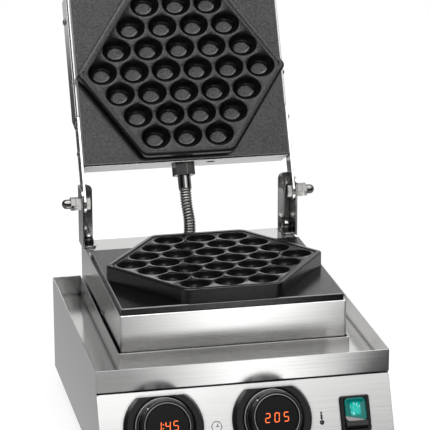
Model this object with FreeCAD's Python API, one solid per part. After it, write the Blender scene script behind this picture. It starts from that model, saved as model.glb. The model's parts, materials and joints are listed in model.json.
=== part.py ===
"""Egg waffle pan: a worktop iron with two cast plates of thirty oval cells, the lid standing open.

X runs across the front, Y from the front to the back and Z up from the table, in millimetres.
While the pieces are made, Y = 0 is the middle of the lower pan.  At the end the whole part is
moved so that its origin is the middle of its footprint on the table.
"""
import FreeCAD, Part
import math
import os

V = FreeCAD.Vector
ORIGIN = V(0, 0, 0)
ACROSS = V(1, 0, 0)
BACK = V(0, 1, 0)
UP = V(0, 0, 1)
SIDES = {"left": -1, "right": 1}
FRONT_NODES = ("timer_ring", "thermostat_ring", "switch_rocker", "control_panel")

# Sheet, screws and fits
sheet = 1.0
panel_sheet = 1.5
bend_radius = 1.6
overrun = 5.0
fit_clearance = 0.05
seat_gap = 0.1
running_gap = 0.3

# Cells and the hexagon round them
cell_pitch = 35.0
cell_web = 3.6
cell_depth = 12.5
row_share = 0.6957
cell_width_share = 0.8025
cells_in_rows = (3, 4, 5, 6, 5, 4, 3)
cell_depth_shares = (0.0, 0.5, 0.86, 1.0)
cell_size_shares = (1.0, 0.9, 0.76, 0.56)
vertex_margin = 12.1
corner_margin = 15.0
side_margin = 7.35
vertex_radius = 6.0
corner_radius = 12.0
pan_edge_radius = 1.2
pan_height = 14.5
rim_height = 0.8
rim_width = 4.6
rim_inner_radius = 9.0
closed_gap = 0.4

# Plates that the hexagons stand on
plate_thickness = 7.0
plate_side_inset = 0.8
plate_front_margin = 0.3
plate_rear_margin = 7.0
plate_corner_radius = 2.0
arris = 0.7
lid_plate_thickness = 4.4
lid_plate_side_inset = 0.3
lid_plate_front_margin = 0.5
lid_plate_rear_margin = 3.5

# Heights and margins of the housing, tray and base
foot_height = 18.0
tray_height = 23.0
housing_height = 61.7
housing_side_margin = 2.0
housing_front_margin = 2.1
deck_flange = 14.0
deck_edge = 1.1
upstand_gap = 1.8
tray_side_channel = 31.2
tray_front_channel = 45.1
tray_rear_setback = 3.0
tray_overhang = 0.5

# Heater stack behind each casting
element_width = 12.0
element_thickness = 6.0
element_end_margin = 32.0
element_runs = 4
clamp_side_margin = 12.5
clamp_front_margin = 15.0
clamp_thickness = 3.0
insulation_thickness = 17.0
post_radius = 4.0
spacer_radius = 6.0
post_inset = 14.0
sensor_radius = 5.0
sensor_length = 24.0
terminal_radius = 2.6
terminal_length = 14.0

# Dials: a fixed bezel with two flats, a turning ring and a fixed display in its middle
dial_across_shares = (-0.2842, 0.0842)
core_radius = 22.2
core_height = 22.6
lens_margin = 0.8
lens_thickness = 1.4
lens_edge = 0.5
ring_wall = 7.3
ring_foot_height = 4.5
ring_waist = 1.9
ring_waist_height = 12.0
ring_taper = 2.9
ring_top_height = 25.4
ring_round = 1.6
bezel_band = 10.8
bezel_bevel = 2.8
bezel_rim_height = 2.0
bezel_height = 8.0
bezel_flat_share = 0.77
bezel_lip = 1.0
bezel_web = 2.6
module_margin = 4.8
module_flange = 3.0
module_depth = 18.0
board_sheet = 1.6
board_margin = 4.0

# Rocker switch
switch_across_share = 0.3705
switch_offset = 1.5
switch_rim = 3.75
switch_end_rim = 2.5
switch_bezel_height = 2.4
switch_bezel_radius = 2.0
switch_body_depth = 24.0
switch_wall = 1.8
switch_side_gap = 0.4
rocker_width = 22.0
rocker_radius = 15.2
rocker_pivot_depth = 1.5
rocker_hub = 4.0
rocker_crown = 3.2
rocker_rise = 2.6
rocker_tilt = 8.0
rocker_lens_length = 24.0
rocker_lens_thickness = 2.0
blade_width = 6.3
blade_thickness = 0.8
blade_length = 10.0

# Control panel, sloping outwards as it goes down
panel_slope = 25.0
panel_step = 2.3
panel_setback = 1.1
panel_flange = 11.0
panel_corner_radius = 3.0
dial_top_margin = 5.8
dial_low_margin = 18.6

# Lid
case_height = 35.1
case_side_inset = 0.2
case_margin = 1.5
case_lip = 1.7
case_lip_thickness = 1.5
lid_corner_radius = 2.4
hood_side_gap = 2.0
hood_front_margin = 3.0
hood_top_gap = 0.2
hood_skirt_rise = 4.1
hood_corner_radius = 6.0
hood_end_setback = 3.0
hood_tail = 13.0
slot_across = 28.0
slot_width = 10.0
slot_height = 8.0
slot_rise = 11.0

# Hinge
hinge_setback = 35.75
pivot_rise = 49.3
lid_open_angle = 115.5
arm_width = 20.0
arm_thickness = 2.5
arm_start_share = 0.4388
arm_screw_along_shares = (0.082, 0.209, 0.709)
arm_screw_offset_shares = (0.25, -0.23, 0.0)
bracket_sheet = 2.0
bracket_depth = 30.0
bracket_return = 15.2
bracket_foot = 27.0
bracket_height = 64.5
bracket_radius = 7.0
foot_corner_radius = 5.0
bolt_radius = 4.0
bolt_flats = 13.0
bolt_head = 4.9
lock_nut = 6.2
dome_hex = 5.4
dome_neck = 4.8
dome_radius = 5.2
dome_length = 14.6
bracket_bolt_radius = 3.0
bracket_bolt_flats = 10.0
bracket_bolt_head = 4.0
bracket_nut_hex = 5.0
bracket_dome_neck = 2.0
bracket_dome_length = 11.0
bracket_dome_radius = 4.5

# Screws
screw_head_radius = 3.6
screw_head_height = 2.0
screw_radius = 2.0
screw_length = 6.0
housing_screw_y = 13.0
housing_screw_drop = 32.5
hood_screw_front = 29.0
hood_screw_rear = 40.0
hood_screw_rises = (27.0, 8.0)

# Handle on the lid's front
handle_reach = 36.0
handle_span = 96.0
handle_overhang = 21.0
grip_radius = 12.5
grip_waist_radius = 11.5
grip_socket_depth = 4.5
grip_end_round = 3.0
post_rod_radius = 5.0
stud_radius = 2.5
stud_length = 10.0
post_flange_radius = 9.0
post_flange = 3.0

# Conduit between the lid and the deck
gland_rise = 15.5
gland_across = -2.0
gland_flats = 22.0
gland_turn = 9.0  # degrees
gland_length = 13.0
gland_nut_flats = 20.0
gland_thread_radius = 8.0
gland_inner_nut = 5.0
deck_gland_height = 3.6
ferrule_radius = 7.1
ferrule_length = 15.0
hose_root_radius = 5.7
hose_crest_radius = 6.75
hose_bore_radius = 4.2
hose_bend_radius = 62.0
hose_straight = 12.4
hose_drift = 2.5
rib_pitch = 2.8
rib_shares = (0.0, 0.18, 0.62, 0.8)
bore_steps = 8

# Inside and under the base
foot_radius = 15.0
foot_top_radius = 13.0
foot_inset = 26.0
foot_stud_radius = 3.0
foot_nut_flats = 10.0
foot_nut = 5.0
bottom_flange = 18.0
vent_length = 60.0
vent_width = 4.0
vent_pitch = 10.0
vents_in_row = 5
wire_hole = 46.0
board_width = 136.0
board_depth = 84.0
board_across_share = -0.114
board_gap = 12.0
board_spacer_radius = 4.0
board_spacer_height = 12.0
relay_width = 22.0
relay_depth = 16.0
relay_height = 18.0
transformer_width = 38.0
transformer_height = 28.0
terminal_block_across_share = -0.2
terminal_block_width = 62.0
terminal_block_depth = 22.0
terminal_block_height = 18.0
terminal_block_setback = 29.5
terminal_pitch = 12.0
inlet_across_share = -0.322
inlet_height = 34.0
inlet_bore_radius = 4.25
inlet_thread_radius = 8.0
inlet_flats = 22.0
inlet_hex = 8.0
inlet_cap_radius = 10.0
inlet_cap_length = 14.0
inlet_nut = 5.0

# Plan of the castings, which follows from their cells
row_spacing = cell_pitch * row_share
cell_length = cell_pitch - cell_web
cell_width = cell_length * cell_width_share
pan_vertex = (max(cells_in_rows) - 1) / 2 * cell_pitch + cell_length / 2 + vertex_margin
pan_corner = (cells_in_rows[0] - 1) / 2 * cell_pitch + corner_margin
pan_half_depth = (len(cells_in_rows) - 1) / 2 * row_spacing + cell_width / 2 + side_margin
plate_width = 2 * (pan_vertex - plate_side_inset)
pan_to_plate_front = pan_half_depth + plate_front_margin
pan_to_plate_rear = pan_half_depth + plate_rear_margin
case_width = plate_width - 2 * case_side_inset
lid_plate_width = case_width - 2 * lid_plate_side_inset
pan_to_lid_plate_front = pan_half_depth + lid_plate_front_margin
pan_to_lid_plate_rear = pan_half_depth + lid_plate_rear_margin
hood_width = case_width + 2 * (hood_side_gap + sheet)
clamp_width = plate_width - 2 * clamp_side_margin
clamp_depth = 2 * (pan_half_depth - clamp_front_margin)
element_spacing = clamp_depth / (element_runs + 1 / 3)

# Dials and switch, which the panel's length follows
ring_radius = core_radius + ring_wall
bezel_radius = ring_radius + bezel_band
bezel_flat = bezel_radius * bezel_flat_share
lens_radius = core_radius - lens_margin
module_radius = core_radius + module_margin
well_width = rocker_width + 2 * switch_side_gap
dial_drop = dial_top_margin + bezel_flat
switch_drop = dial_drop + switch_offset
slope = math.radians(panel_slope)
panel_face = dial_drop + bezel_flat + dial_low_margin
panel_length = panel_face - panel_sheet * math.tan(slope)
base_height = panel_step + panel_face * math.cos(slope)

# Levels, from the table upwards
base_top = foot_height + base_height
deck_level = base_top + housing_height
plate_top = deck_level + plate_thickness
pan_face = plate_top + pan_height
rim_top = pan_face + rim_height
meeting_plane = rim_top + closed_gap / 2
case_level = 2 * meeting_plane - plate_top + lid_plate_thickness
case_top = case_level + case_height
hood_top = case_top + hood_top_gap + sheet
panel_top_z = base_top - panel_step
pivot_z = deck_level + pivot_rise

# Places across and along, measured from the middle of the pan
case_front = -(pan_to_lid_plate_front + case_margin)
case_rear = pan_to_lid_plate_rear + case_margin
hood_front = case_front - hood_front_margin
arm_start = case_rear * arm_start_share
hood_end = arm_start - hood_end_setback
arm_inner = case_width / 2
arm_outer = arm_inner + arm_thickness
leg_inner = arm_outer + running_gap
leg_outer = leg_inner + bracket_sheet
pivot_setback = pan_to_plate_rear + hinge_setback
lean = math.radians(lid_open_angle - 90)
stop_along_arm = (bracket_height - pivot_rise + arm_width / 2 * math.sin(lean)) / math.cos(lean)
stop_y = pivot_setback + stop_along_arm * math.sin(lean) + arm_width / 2 * math.cos(lean)
bracket_back = stop_y + running_gap + bracket_sheet
pan_to_rear_face = bracket_back + deck_edge
housing_width = plate_width + 2 * housing_side_margin
pan_to_housing_front = pan_to_plate_front + housing_front_margin
tray_width = housing_width + 2 * (upstand_gap + tray_side_channel)
pan_to_tray_front = pan_to_housing_front + upstand_gap + tray_front_channel
base_width = tray_width - 2 * tray_overhang
panel_top_y = -(pan_to_tray_front - panel_setback)
panel_bottom_y = panel_top_y - panel_face * math.sin(slope)
switch_across = base_width * switch_across_share
terminal_block_y = pan_to_rear_face - terminal_block_setback
board_y = terminal_block_y - (terminal_block_depth + board_depth) / 2 - board_gap
board_across = base_width * board_across_share
inlet_across = base_width * inlet_across_share
handle_length = handle_span + 2 * handle_overhang


def box(x_range, y_range, z_range):
    """Block between two places along each axis."""
    low = V(x_range[0], y_range[0], z_range[0])
    size = [span[1] - span[0] for span in (x_range, y_range, z_range)]
    return Part.makeBox(*size, low)


def rod(radius, start, end):
    return Part.makeCylinder(radius, (end - start).Length, start, end - start)


def plate_from(points, push):
    """Plate whose outline is a list of points, pushed out along a vector."""
    return Part.Face(Part.makePolygon(points + points[:1])).extrude(push)


def turned(points):
    """Solid turned about Z from (radius, height) points."""
    corners = [V(radius, 0, height) for radius, height in points]
    face = Part.Face(Part.makePolygon(corners + corners[:1]))
    return face.revolve(ORIGIN, UP, 360)


def prism(flats, start, direction, length, turned=0):
    """Hexagonal bar, a flat across one way and a corner up, or turned from there by degrees."""
    corner = flats / math.sqrt(3)
    points = []
    for step in range(6):
        turn = math.radians(60 * step + turned)
        points.append(V(corner * math.sin(turn), corner * math.cos(turn), 0))
    bar = plate_from(points, V(0, 0, length))
    bar.Placement = FreeCAD.Placement(start, FreeCAD.Rotation(UP, direction))
    return bar


def rounded(shape, radius, chosen):
    """Shape with a fillet on each edge that the test picks."""
    edges = [edge for edge in shape.Edges if chosen(edge)]
    return shape.makeFillet(radius, edges) if edges else shape


def runs_along(edge, axis):
    if not isinstance(edge.Curve, Part.Line):
        return False
    return abs(edge.tangentAt(edge.FirstParameter).dot(axis)) > math.cos(math.radians(1))


def lies_at_z(edge, height):
    return abs(edge.BoundBox.ZMin - height) < fit_clearance > abs(edge.BoundBox.ZMax - height)


def mirrored(shape):
    return shape.mirror(ORIGIN, ACROSS)


def opened(shape):
    """A piece of the closed lid, swung up about the pivots."""
    raised = shape.copy()
    raised.rotate(V(0, pivot_setback, pivot_z), ACROSS, -lid_open_angle)
    return raised


def flipped(shape):
    """A piece of the lower heater, turned over the meeting plane into the closed lid."""
    inverted = shape.copy()
    inverted.rotate(V(0, 0, meeting_plane), BACK, 180)
    return inverted


def on_panel(shape, across, drop):
    """A piece made about its own Z, set on the panel with Z pointing out of it."""
    foot = V(across, panel_top_y - drop * math.sin(slope), panel_top_z - drop * math.cos(slope))
    placed = shape.copy()
    upright = FreeCAD.Placement(foot, FreeCAD.Rotation(ACROSS, 90 - panel_slope))
    placed.Placement = upright.multiply(shape.Placement)
    return placed


def round_head_screw(place, inwards):
    """Dome-headed screw: the head stands on the sheet and the shank goes inwards."""
    head = turned([
        (0, 0),
        (screw_head_radius, 0),
        (screw_head_radius * math.cos(math.pi / 6), screw_head_height / 2),
        (screw_head_radius / 2, screw_head_height),
        (0, screw_head_height),
    ])
    head.Placement = FreeCAD.Placement(place, FreeCAD.Rotation(UP, inwards * -1))
    return head.fuse(rod(screw_radius, place, place + inwards * screw_length))


# Casting with its thirty cells

def pan_corners(inset):
    """Corners of the pan's long hexagon, drawn in from its edge by an inset."""
    slant = math.hypot(pan_vertex - pan_corner, pan_half_depth)
    vertex = pan_vertex - inset * slant / pan_half_depth
    side = pan_half_depth - inset
    corner = vertex - (pan_vertex - pan_corner) * side / pan_half_depth
    quarter = [V(vertex, 0, 0), V(corner, side, 0)]
    left = [V(-point.x, point.y, 0) for point in reversed(quarter)]
    return quarter + left + [V(-corner, -side, 0), V(corner, -side, 0)]


def pan_prism(inset, bottom, top, vertex_round, corner_round):
    block = plate_from(pan_corners(inset), V(0, 0, top - bottom))
    block.translate(V(0, 0, bottom))
    side = pan_half_depth - inset

    def at_corner(edge):
        return runs_along(edge, UP) and abs(edge.BoundBox.YMin) > side / 2

    def at_vertex(edge):
        return runs_along(edge, UP) and abs(edge.BoundBox.YMin) < side / 2

    return rounded(rounded(block, corner_round, at_corner), vertex_round, at_vertex)


def cell_places():
    """Middles of the cells, row by row from front to back."""
    first_row = -(len(cells_in_rows) - 1) / 2
    for row, count in enumerate(cells_in_rows):
        for column in range(count):
            yield V((column - (count - 1) / 2) * cell_pitch, (first_row + row) * row_spacing, 0)


def cell_bowl():
    """Oval bowl, lofted down from its mouth at Z = 0."""
    wires = []
    for depth_share, size_share in zip(cell_depth_shares, cell_size_shares):
        middle = V(0, 0, -cell_depth * depth_share)
        oval = Part.Ellipse(middle, cell_length / 2 * size_share, cell_width / 2 * size_share)
        wires.append(Part.Wire(oval.toShape()))
    return Part.makeLoft(wires, True, True)


def casting(width, front, rear, thickness):
    """Square plate with the raised hexagonal pan and its cells, as it lies in the base."""
    under = plate_top - thickness
    plate = box((-width / 2, width / 2), (-front, rear), (under, plate_top))
    plate = rounded(plate, plate_corner_radius, lambda edge: runs_along(edge, UP))
    top_edges = [edge for edge in plate.Edges if lies_at_z(edge, plate_top)]
    plate = plate.makeChamfer(arris, top_edges)
    block = pan_prism(0, under, rim_top, vertex_radius, corner_radius)
    block = rounded(block, pan_edge_radius, lambda edge: lies_at_z(edge, rim_top))
    body = plate.fuse(block).removeSplitter()
    recess = pan_prism(rim_width, pan_face, rim_top + overrun, rim_inner_radius, rim_inner_radius)
    bowl = cell_bowl()
    bowls = []
    for place in cell_places():
        copy = bowl.copy()
        copy.translate(place + V(0, 0, pan_face))
        bowls.append(copy)
    return body.cut(recess).cut(Part.makeCompound(bowls))


# Heater stack

def post_places():
    for across in (post_inset - clamp_width / 2, clamp_width / 2 - post_inset):
        for along in (post_inset - clamp_depth / 2, clamp_depth / 2 - post_inset):
            yield V(across, along, 0)


def element(under):
    """Flat strip heater, folded to and fro under the casting, with its two terminals."""
    level = under - element_thickness
    half = clamp_width / 2 - element_end_margin
    first = -(element_runs - 1) / 2 * element_spacing
    outer = (element_spacing + element_width) / 2
    inner = (element_spacing - element_width) / 2
    thick = UP * element_thickness
    strip = []
    for run in range(element_runs):
        y = first + run * element_spacing
        across = (y - element_width / 2, y + element_width / 2)
        strip.append(box((-half, half), across, (level, under)))
        if run < element_runs - 1:
            way = 1 if run % 2 == 0 else -1
            middle = V(way * half, y + element_spacing / 2, level)
            ring = rod(outer, middle, middle + thick).cut(rod(inner, middle, middle + thick))
            span = sorted((way * half, way * (half + outer)))
            bend = (middle.y - outer, middle.y + outer)
            strip.append(ring.common(box(span, bend, (level, under))))
    for y in (first, first + (element_runs - 1) * element_spacing):
        start = V(-half - terminal_length, y, level + element_thickness / 2)
        strip.append(rod(terminal_radius, start, start + ACROSS * terminal_length * 2))
    return strip[0].multiFuse(strip[1:]).removeSplitter()


def heater_stack(under, post_length):
    """Element, clamp plate, insulation, sensor and posts below a casting's underside."""
    clamp_top = under - element_thickness
    pad_top = clamp_top - clamp_thickness
    pad_bottom = pad_top - insulation_thickness
    outline = ((-clamp_width / 2, clamp_width / 2), (-clamp_depth / 2, clamp_depth / 2))
    sensor = rod(sensor_radius, V(0, 0, under - sensor_length), V(0, 0, under))
    holes = [rod(sensor_radius + seat_gap, V(0, 0, under - sensor_length), V(0, 0, under))]
    posts = []
    for place in post_places():
        top = place + UP * under
        foot = top - UP * post_length
        spacer = rod(spacer_radius, foot, place + UP * pad_bottom)
        posts.append(rod(post_radius, foot, top).fuse(spacer))
        holes.append(rod(post_radius + seat_gap, foot, top))
    tools = Part.makeCompound(holes)
    return {
        "element": element(under),
        "clamp_plate": box(*outline, (pad_top, clamp_top)).cut(tools),
        "insulation": box(*outline, (pad_bottom, pad_top)).cut(tools),
        "sensor": sensor,
        "posts": Part.makeCompound(posts),
    }


# Housing, base and tray

def housing():
    """Folded box that carries the lower casting, with a deck behind it for the hinge."""
    half = housing_width / 2
    outer = box((-half, half), (-pan_to_housing_front, pan_to_rear_face), (base_top, deck_level))
    outer = rounded(outer, bend_radius, lambda edge: runs_along(edge, UP))
    outer = outer.makeChamfer(sheet / 2, [edge for edge in outer.Edges if lies_at_z(edge, deck_level)])
    inner = box(
        (-half + sheet, half - sheet),
        (-pan_to_housing_front + sheet, pan_to_rear_face - sheet),
        (base_top - overrun, deck_level - sheet),
    )
    window = box(
        (-plate_width / 2 + deck_flange, plate_width / 2 - deck_flange),
        (-pan_to_plate_front + deck_flange, pan_to_plate_rear - deck_flange),
        (base_top, deck_level + overrun),
    )
    shell = outer.cut(inner).cut(window)
    holes = [gland_hole()]
    for sign in SIDES.values():
        holes.append(rod(bracket_bolt_radius + fit_clearance, bracket_bolt(sign, -overrun),
                         bracket_bolt(sign, overrun)))
        holes.append(rod(screw_radius + fit_clearance, *housing_screw_line(sign)))
    return shell.cut(Part.makeCompound(holes))


def housing_screw_place(sign):
    return V(sign * housing_width / 2, housing_screw_y, deck_level - housing_screw_drop)


def housing_screw_line(sign):
    place = housing_screw_place(sign)
    return place - ACROSS * sign * screw_length, place + ACROSS * sign * overrun


def housing_screws():
    return Part.makeCompound(
        [round_head_screw(housing_screw_place(sign), ACROSS * -sign) for sign in SIDES.values()]
    )


def slab(section, half_width):
    """Side view pushed right across the machine."""
    face = plate_from(section, ACROSS * (2 * half_width))
    face.translate(ACROSS * -half_width)
    return face


def behind_panel(height):
    """How far forward the back of the sloping panel lies at some height."""
    return panel_top_y + panel_sheet / math.cos(slope) - (panel_top_z - height) * math.tan(slope)


def base_shell():
    """Folded sides, back and top of the base, with flanges below for the bottom plate."""
    section = [
        V(0, pan_to_rear_face, foot_height),
        V(0, pan_to_rear_face, base_top),
        V(0, behind_panel(base_top), base_top),
        V(0, behind_panel(foot_height), foot_height),
    ]
    outer = slab(section, base_width / 2)
    outer = rounded(outer, bend_radius, lambda edge: runs_along(edge, UP))
    inside = base_width / 2 - sheet
    hollow = box(
        (-inside, inside),
        (panel_bottom_y - overrun, pan_to_rear_face - sheet),
        (foot_height - overrun, base_top - sheet),
    )
    shell = outer.cut(hollow)
    for sign in SIDES.values():
        span = sorted((sign * inside, sign * (inside - bottom_flange)))
        shell = shell.fuse(box(
            span,
            (behind_panel(foot_height) + panel_flange, pan_to_rear_face - sheet),
            (foot_height + sheet, foot_height + 2 * sheet),
        ))
    window = box((-wire_hole / 2, wire_hole / 2), (-wire_hole / 2, wire_hole / 2),
                 (base_top - overrun, base_top + overrun))
    inlet = rod(inlet_thread_radius + fit_clearance, inlet_place(-overrun), inlet_place(overrun))
    holes = [window, inlet, *rear_vents()]
    for place in bottom_screw_places():
        holes.append(rod(screw_radius + fit_clearance, place, place + UP * overrun))
    return shell.cut(Part.makeCompound(holes))


def vent_slot(length, width, depth):
    """Round-ended slot, along X and cut along Z."""
    half = (length - width) / 2
    bar = box((-half, half), (-width / 2, width / 2), (0, depth))
    ends = [rod(width / 2, V(x, 0, 0), V(x, 0, depth)) for x in (-half, half)]
    return bar.fuse(ends[0]).fuse(ends[1])


def rear_vents():
    """Slots one above another in the back of the base, beside the cable inlet."""
    slots = []
    for step in range(vents_in_row):
        slot = vent_slot(vent_length, vent_width, 2 * overrun)
        slot.rotate(ORIGIN, ACROSS, 90)
        height = foot_height + base_height / 2 + (step - (vents_in_row - 1) / 2) * vent_pitch
        copy = slot.copy()
        copy.translate(V(vent_length / 2, pan_to_rear_face + overrun, height))
        slots.append(copy)
    return slots


def control_panel():
    """Sloping front sheet with a return down each side, holes for the dials and the switch."""
    half = base_width / 2
    face = box((-half, half), (-panel_length, 0), (-panel_sheet, 0))
    face = rounded(face, panel_corner_radius,
                   lambda edge: runs_along(edge, UP) and edge.BoundBox.YMax > -overrun)
    returns = []
    for sign in SIDES.values():
        outer = sign * (half - sheet)
        inner = sign * (half - 2 * sheet)
        span = (min(outer, inner), max(outer, inner))
        along = (panel_flange - panel_length, -panel_flange)
        returns.append(box(span, along, (-panel_flange, -panel_sheet)))
    body = face.fuse(returns[0]).fuse(returns[1])
    cuts = []
    for across in dial_places():
        hole = rod(core_radius + fit_clearance, V(0, 0, -overrun), V(0, 0, overrun))
        hole.translate(V(across, -dial_drop, 0))
        cuts.append(hole)
    mouth = box(
        (-well_width / 2 - switch_wall, well_width / 2 + switch_wall),
        (-switch_half_length(), switch_half_length()),
        (-overrun, overrun),
    )
    mouth.translate(V(switch_across, -switch_drop, 0))
    return on_panel(body.cut(Part.makeCompound(cuts + [mouth])), 0, 0)


def drip_tray():
    """Channel round three sides of the housing, with an upstand beside it, open at the back."""
    floor, top = base_top, base_top + tray_height
    rear = pan_to_rear_face - tray_rear_setback
    outer = box((-tray_width / 2, tray_width / 2), (-pan_to_tray_front, rear), (floor, top))
    outer = rounded(outer, bend_radius, lambda edge: runs_along(edge, UP))
    inside = housing_width / 2 + upstand_gap
    front = pan_to_housing_front + upstand_gap
    middle = box((-inside, inside), (-front, rear + overrun), (floor - overrun, top + overrun))
    channel = box(
        (-tray_width / 2 + sheet, tray_width / 2 - sheet),
        (-pan_to_tray_front + sheet, rear - sheet),
        (floor + sheet, top + overrun),
    )
    ledge = box(
        (-inside - sheet, inside + sheet),
        (-front - sheet, rear),
        (floor, top + overrun),
    )
    return outer.cut(channel.cut(ledge)).cut(middle)


# Dials and switch

def dial_places():
    return [base_width * share for share in dial_across_shares]


def dial_bezel():
    """Bevelled disc with a flat above and below, and a well for the turning ring."""
    well = ring_radius + bezel_lip
    bore = core_radius + fit_clearance
    disc = turned([
        (bore, 0),
        (bezel_radius, 0),
        (bezel_radius, bezel_rim_height),
        (bezel_radius - bezel_bevel, bezel_height),
        (well + bezel_lip, bezel_height),
        (well, bezel_height - bezel_lip),
        (well, bezel_web),
        (bore, bezel_web),
    ])
    cuts = []
    for sign in SIDES.values():
        low, high = sorted((sign * bezel_flat, sign * (bezel_radius + overrun)))
        cuts.append(box((-bezel_radius, bezel_radius), (low, high), (-overrun, bezel_height + overrun)))
    return disc.cut(Part.makeCompound(cuts))


def dial_ring():
    """Turning ring with a waisted flank, which turns on the fixed core."""
    bore = core_radius + fit_clearance
    foot = bezel_web + running_gap
    ring = turned([
        (bore, foot),
        (ring_radius, foot),
        (ring_radius, foot + ring_foot_height),
        (ring_radius - ring_waist, ring_waist_height),
        (ring_radius - ring_taper, ring_top_height - ring_round),
        (ring_radius - ring_taper - ring_round, ring_top_height),
        (bore + ring_round / 2, ring_top_height),
        (bore, ring_top_height - ring_round / 2),
    ])
    notch = box(
        (-fit_clearance - lens_edge, lens_edge),
        (ring_radius - ring_waist - ring_round, ring_radius + overrun),
        (foot + ring_foot_height - ring_round / 2, ring_top_height),
    )
    notch.rotate(ORIGIN, UP, 45)
    return ring.cut(notch)


def dial_core():
    """Fixed spigot that the ring turns on, with its flange and circuit behind the panel."""
    back = -panel_sheet
    spigot = turned([
        (0, back),
        (module_radius, back),
        (module_radius, back - module_flange),
        (core_radius, back - module_flange),
        (core_radius, back - module_depth),
        (0, back - module_depth),
    ])
    stem = rod(core_radius, V(0, 0, back), V(0, 0, core_height))
    half = module_radius + board_margin
    card = box((-half, half), (-half, half), (back - module_depth - board_sheet, back - module_depth))
    return spigot.fuse(stem).fuse(card)


def dial_lens():
    top = core_height + lens_thickness
    return turned([
        (0, core_height),
        (lens_radius, core_height),
        (lens_radius, top - lens_edge),
        (lens_radius - lens_edge, top),
        (0, top),
    ])


def switch_half_length():
    return rocker_radius + running_gap + switch_wall


def switch_body():
    """Snap-in switch case: bezel on the panel, a well for the rocker and three blades behind."""
    half_width = well_width / 2 + switch_rim
    half_length = switch_half_length() + switch_end_rim - switch_wall
    bezel = box((-half_width, half_width), (-half_length, half_length), (0, switch_bezel_height))
    bezel = rounded(bezel, switch_bezel_radius, lambda edge: runs_along(edge, UP))
    bezel = bezel.makeChamfer(lens_edge, [edge for edge in bezel.Edges
                                          if lies_at_z(edge, switch_bezel_height)])
    case = box(
        (-well_width / 2 - switch_wall + fit_clearance, well_width / 2 + switch_wall - fit_clearance),
        (-switch_half_length() + fit_clearance, switch_half_length() - fit_clearance),
        (-switch_body_depth, 0),
    )
    well = box(
        (-well_width / 2, well_width / 2),
        (-rocker_radius - running_gap, rocker_radius + running_gap),
        (-rocker_pivot_depth - rocker_radius - running_gap, switch_bezel_height + overrun),
    )
    body = bezel.fuse(case).cut(well)
    spindle = rod(screw_radius, V(-well_width / 2, 0, -rocker_pivot_depth),
                  V(well_width / 2, 0, -rocker_pivot_depth))
    blades = []
    for step in (-1, 0, 1):
        middle = step * blade_width * math.sqrt(2)
        blades.append(box(
            (-blade_width / 2, blade_width / 2),
            (middle - blade_thickness / 2, middle + blade_thickness / 2),
            (-switch_body_depth - blade_length, -switch_body_depth),
        ))
    return body.fuse(spindle).fuse(blades[0]).fuse(blades[1]).fuse(blades[2])


def rocker():
    """Dished rocker with ends rounded about its spindle, pressed in at the top, and its lens."""
    half = rocker_width / 2
    pivot = V(0, 0, -rocker_pivot_depth)
    barrel = rod(rocker_radius, pivot - ACROSS * half, pivot + ACROSS * half)
    end_height = rocker_crown + rocker_rise
    hub = -rocker_pivot_depth - rocker_hub
    dish = [
        V(-half, -rocker_radius, end_height),
        V(-half, 0, rocker_crown),
        V(-half, rocker_radius, end_height),
        V(-half, rocker_radius, hub),
        V(-half, -rocker_radius, hub),
    ]
    bore = rod(screw_radius + fit_clearance, pivot - ACROSS * half, pivot + ACROSS * half)
    paddle = barrel.common(plate_from(dish, ACROSS * rocker_width)).cut(bore)
    lens_start = rocker_radius - rocker_lens_length
    drop = UP * -rocker_lens_thickness
    lens_section = [V(-half, lens_start, end_height) + drop]
    if lens_start < 0:
        tilt_share = -lens_start / rocker_radius
        lens_section = [V(-half, lens_start, rocker_crown + rocker_rise * tilt_share) + drop]
        lens_section.append(V(-half, 0, rocker_crown) + drop)
    lens_section += [
        V(-half, rocker_radius, end_height) + drop,
        V(-half, rocker_radius, end_height),
        V(-half, lens_start, end_height),
    ]
    lens = paddle.common(plate_from(lens_section, ACROSS * rocker_width))
    pieces = [paddle.cut(lens), lens]
    for piece in pieces:
        piece.rotate(pivot, ACROSS, -rocker_tilt)
    return pieces


# Lid

def lid_case():
    """Folded box over the upper casting, with a narrow lip beside the plate as far as the arms."""
    half = case_width / 2
    outer = box((-half, half), (case_front, case_rear), (case_level, case_top))
    outer = rounded(outer, lid_corner_radius, lambda edge: runs_along(edge, UP))
    lip = box(
        (-half - case_lip, half + case_lip),
        (case_front - case_lip, arm_start - running_gap),
        (case_level, case_level + case_lip_thickness),
    )
    hollow = box(
        (-half + sheet, half - sheet),
        (case_front + sheet, case_rear - sheet),
        (case_level - overrun, case_top - sheet),
    )
    slot = vent_slot(slot_width, slot_height, 2 * overrun)
    slot.rotate(ORIGIN, ACROSS, 90)
    slot.translate(V(slot_across, case_rear + overrun, case_level + slot_rise))
    gland = rod(gland_thread_radius + fit_clearance, gland_place(-overrun), gland_place(overrun))
    holes = [slot, gland]
    for sign in SIDES.values():
        for place in arm_screw_list(sign):
            holes.append(rod(screw_radius + fit_clearance, place - ACROSS * sign * overrun, place))
        for place in hood_screw_list(sign):
            holes.append(rod(screw_radius + fit_clearance,
                             place - ACROSS * sign * (screw_length + overrun), place))
        holes.append(handle_stud(sign, fit_clearance))
    return outer.fuse(lip).cut(hollow).cut(Part.makeCompound(holes))


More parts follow.
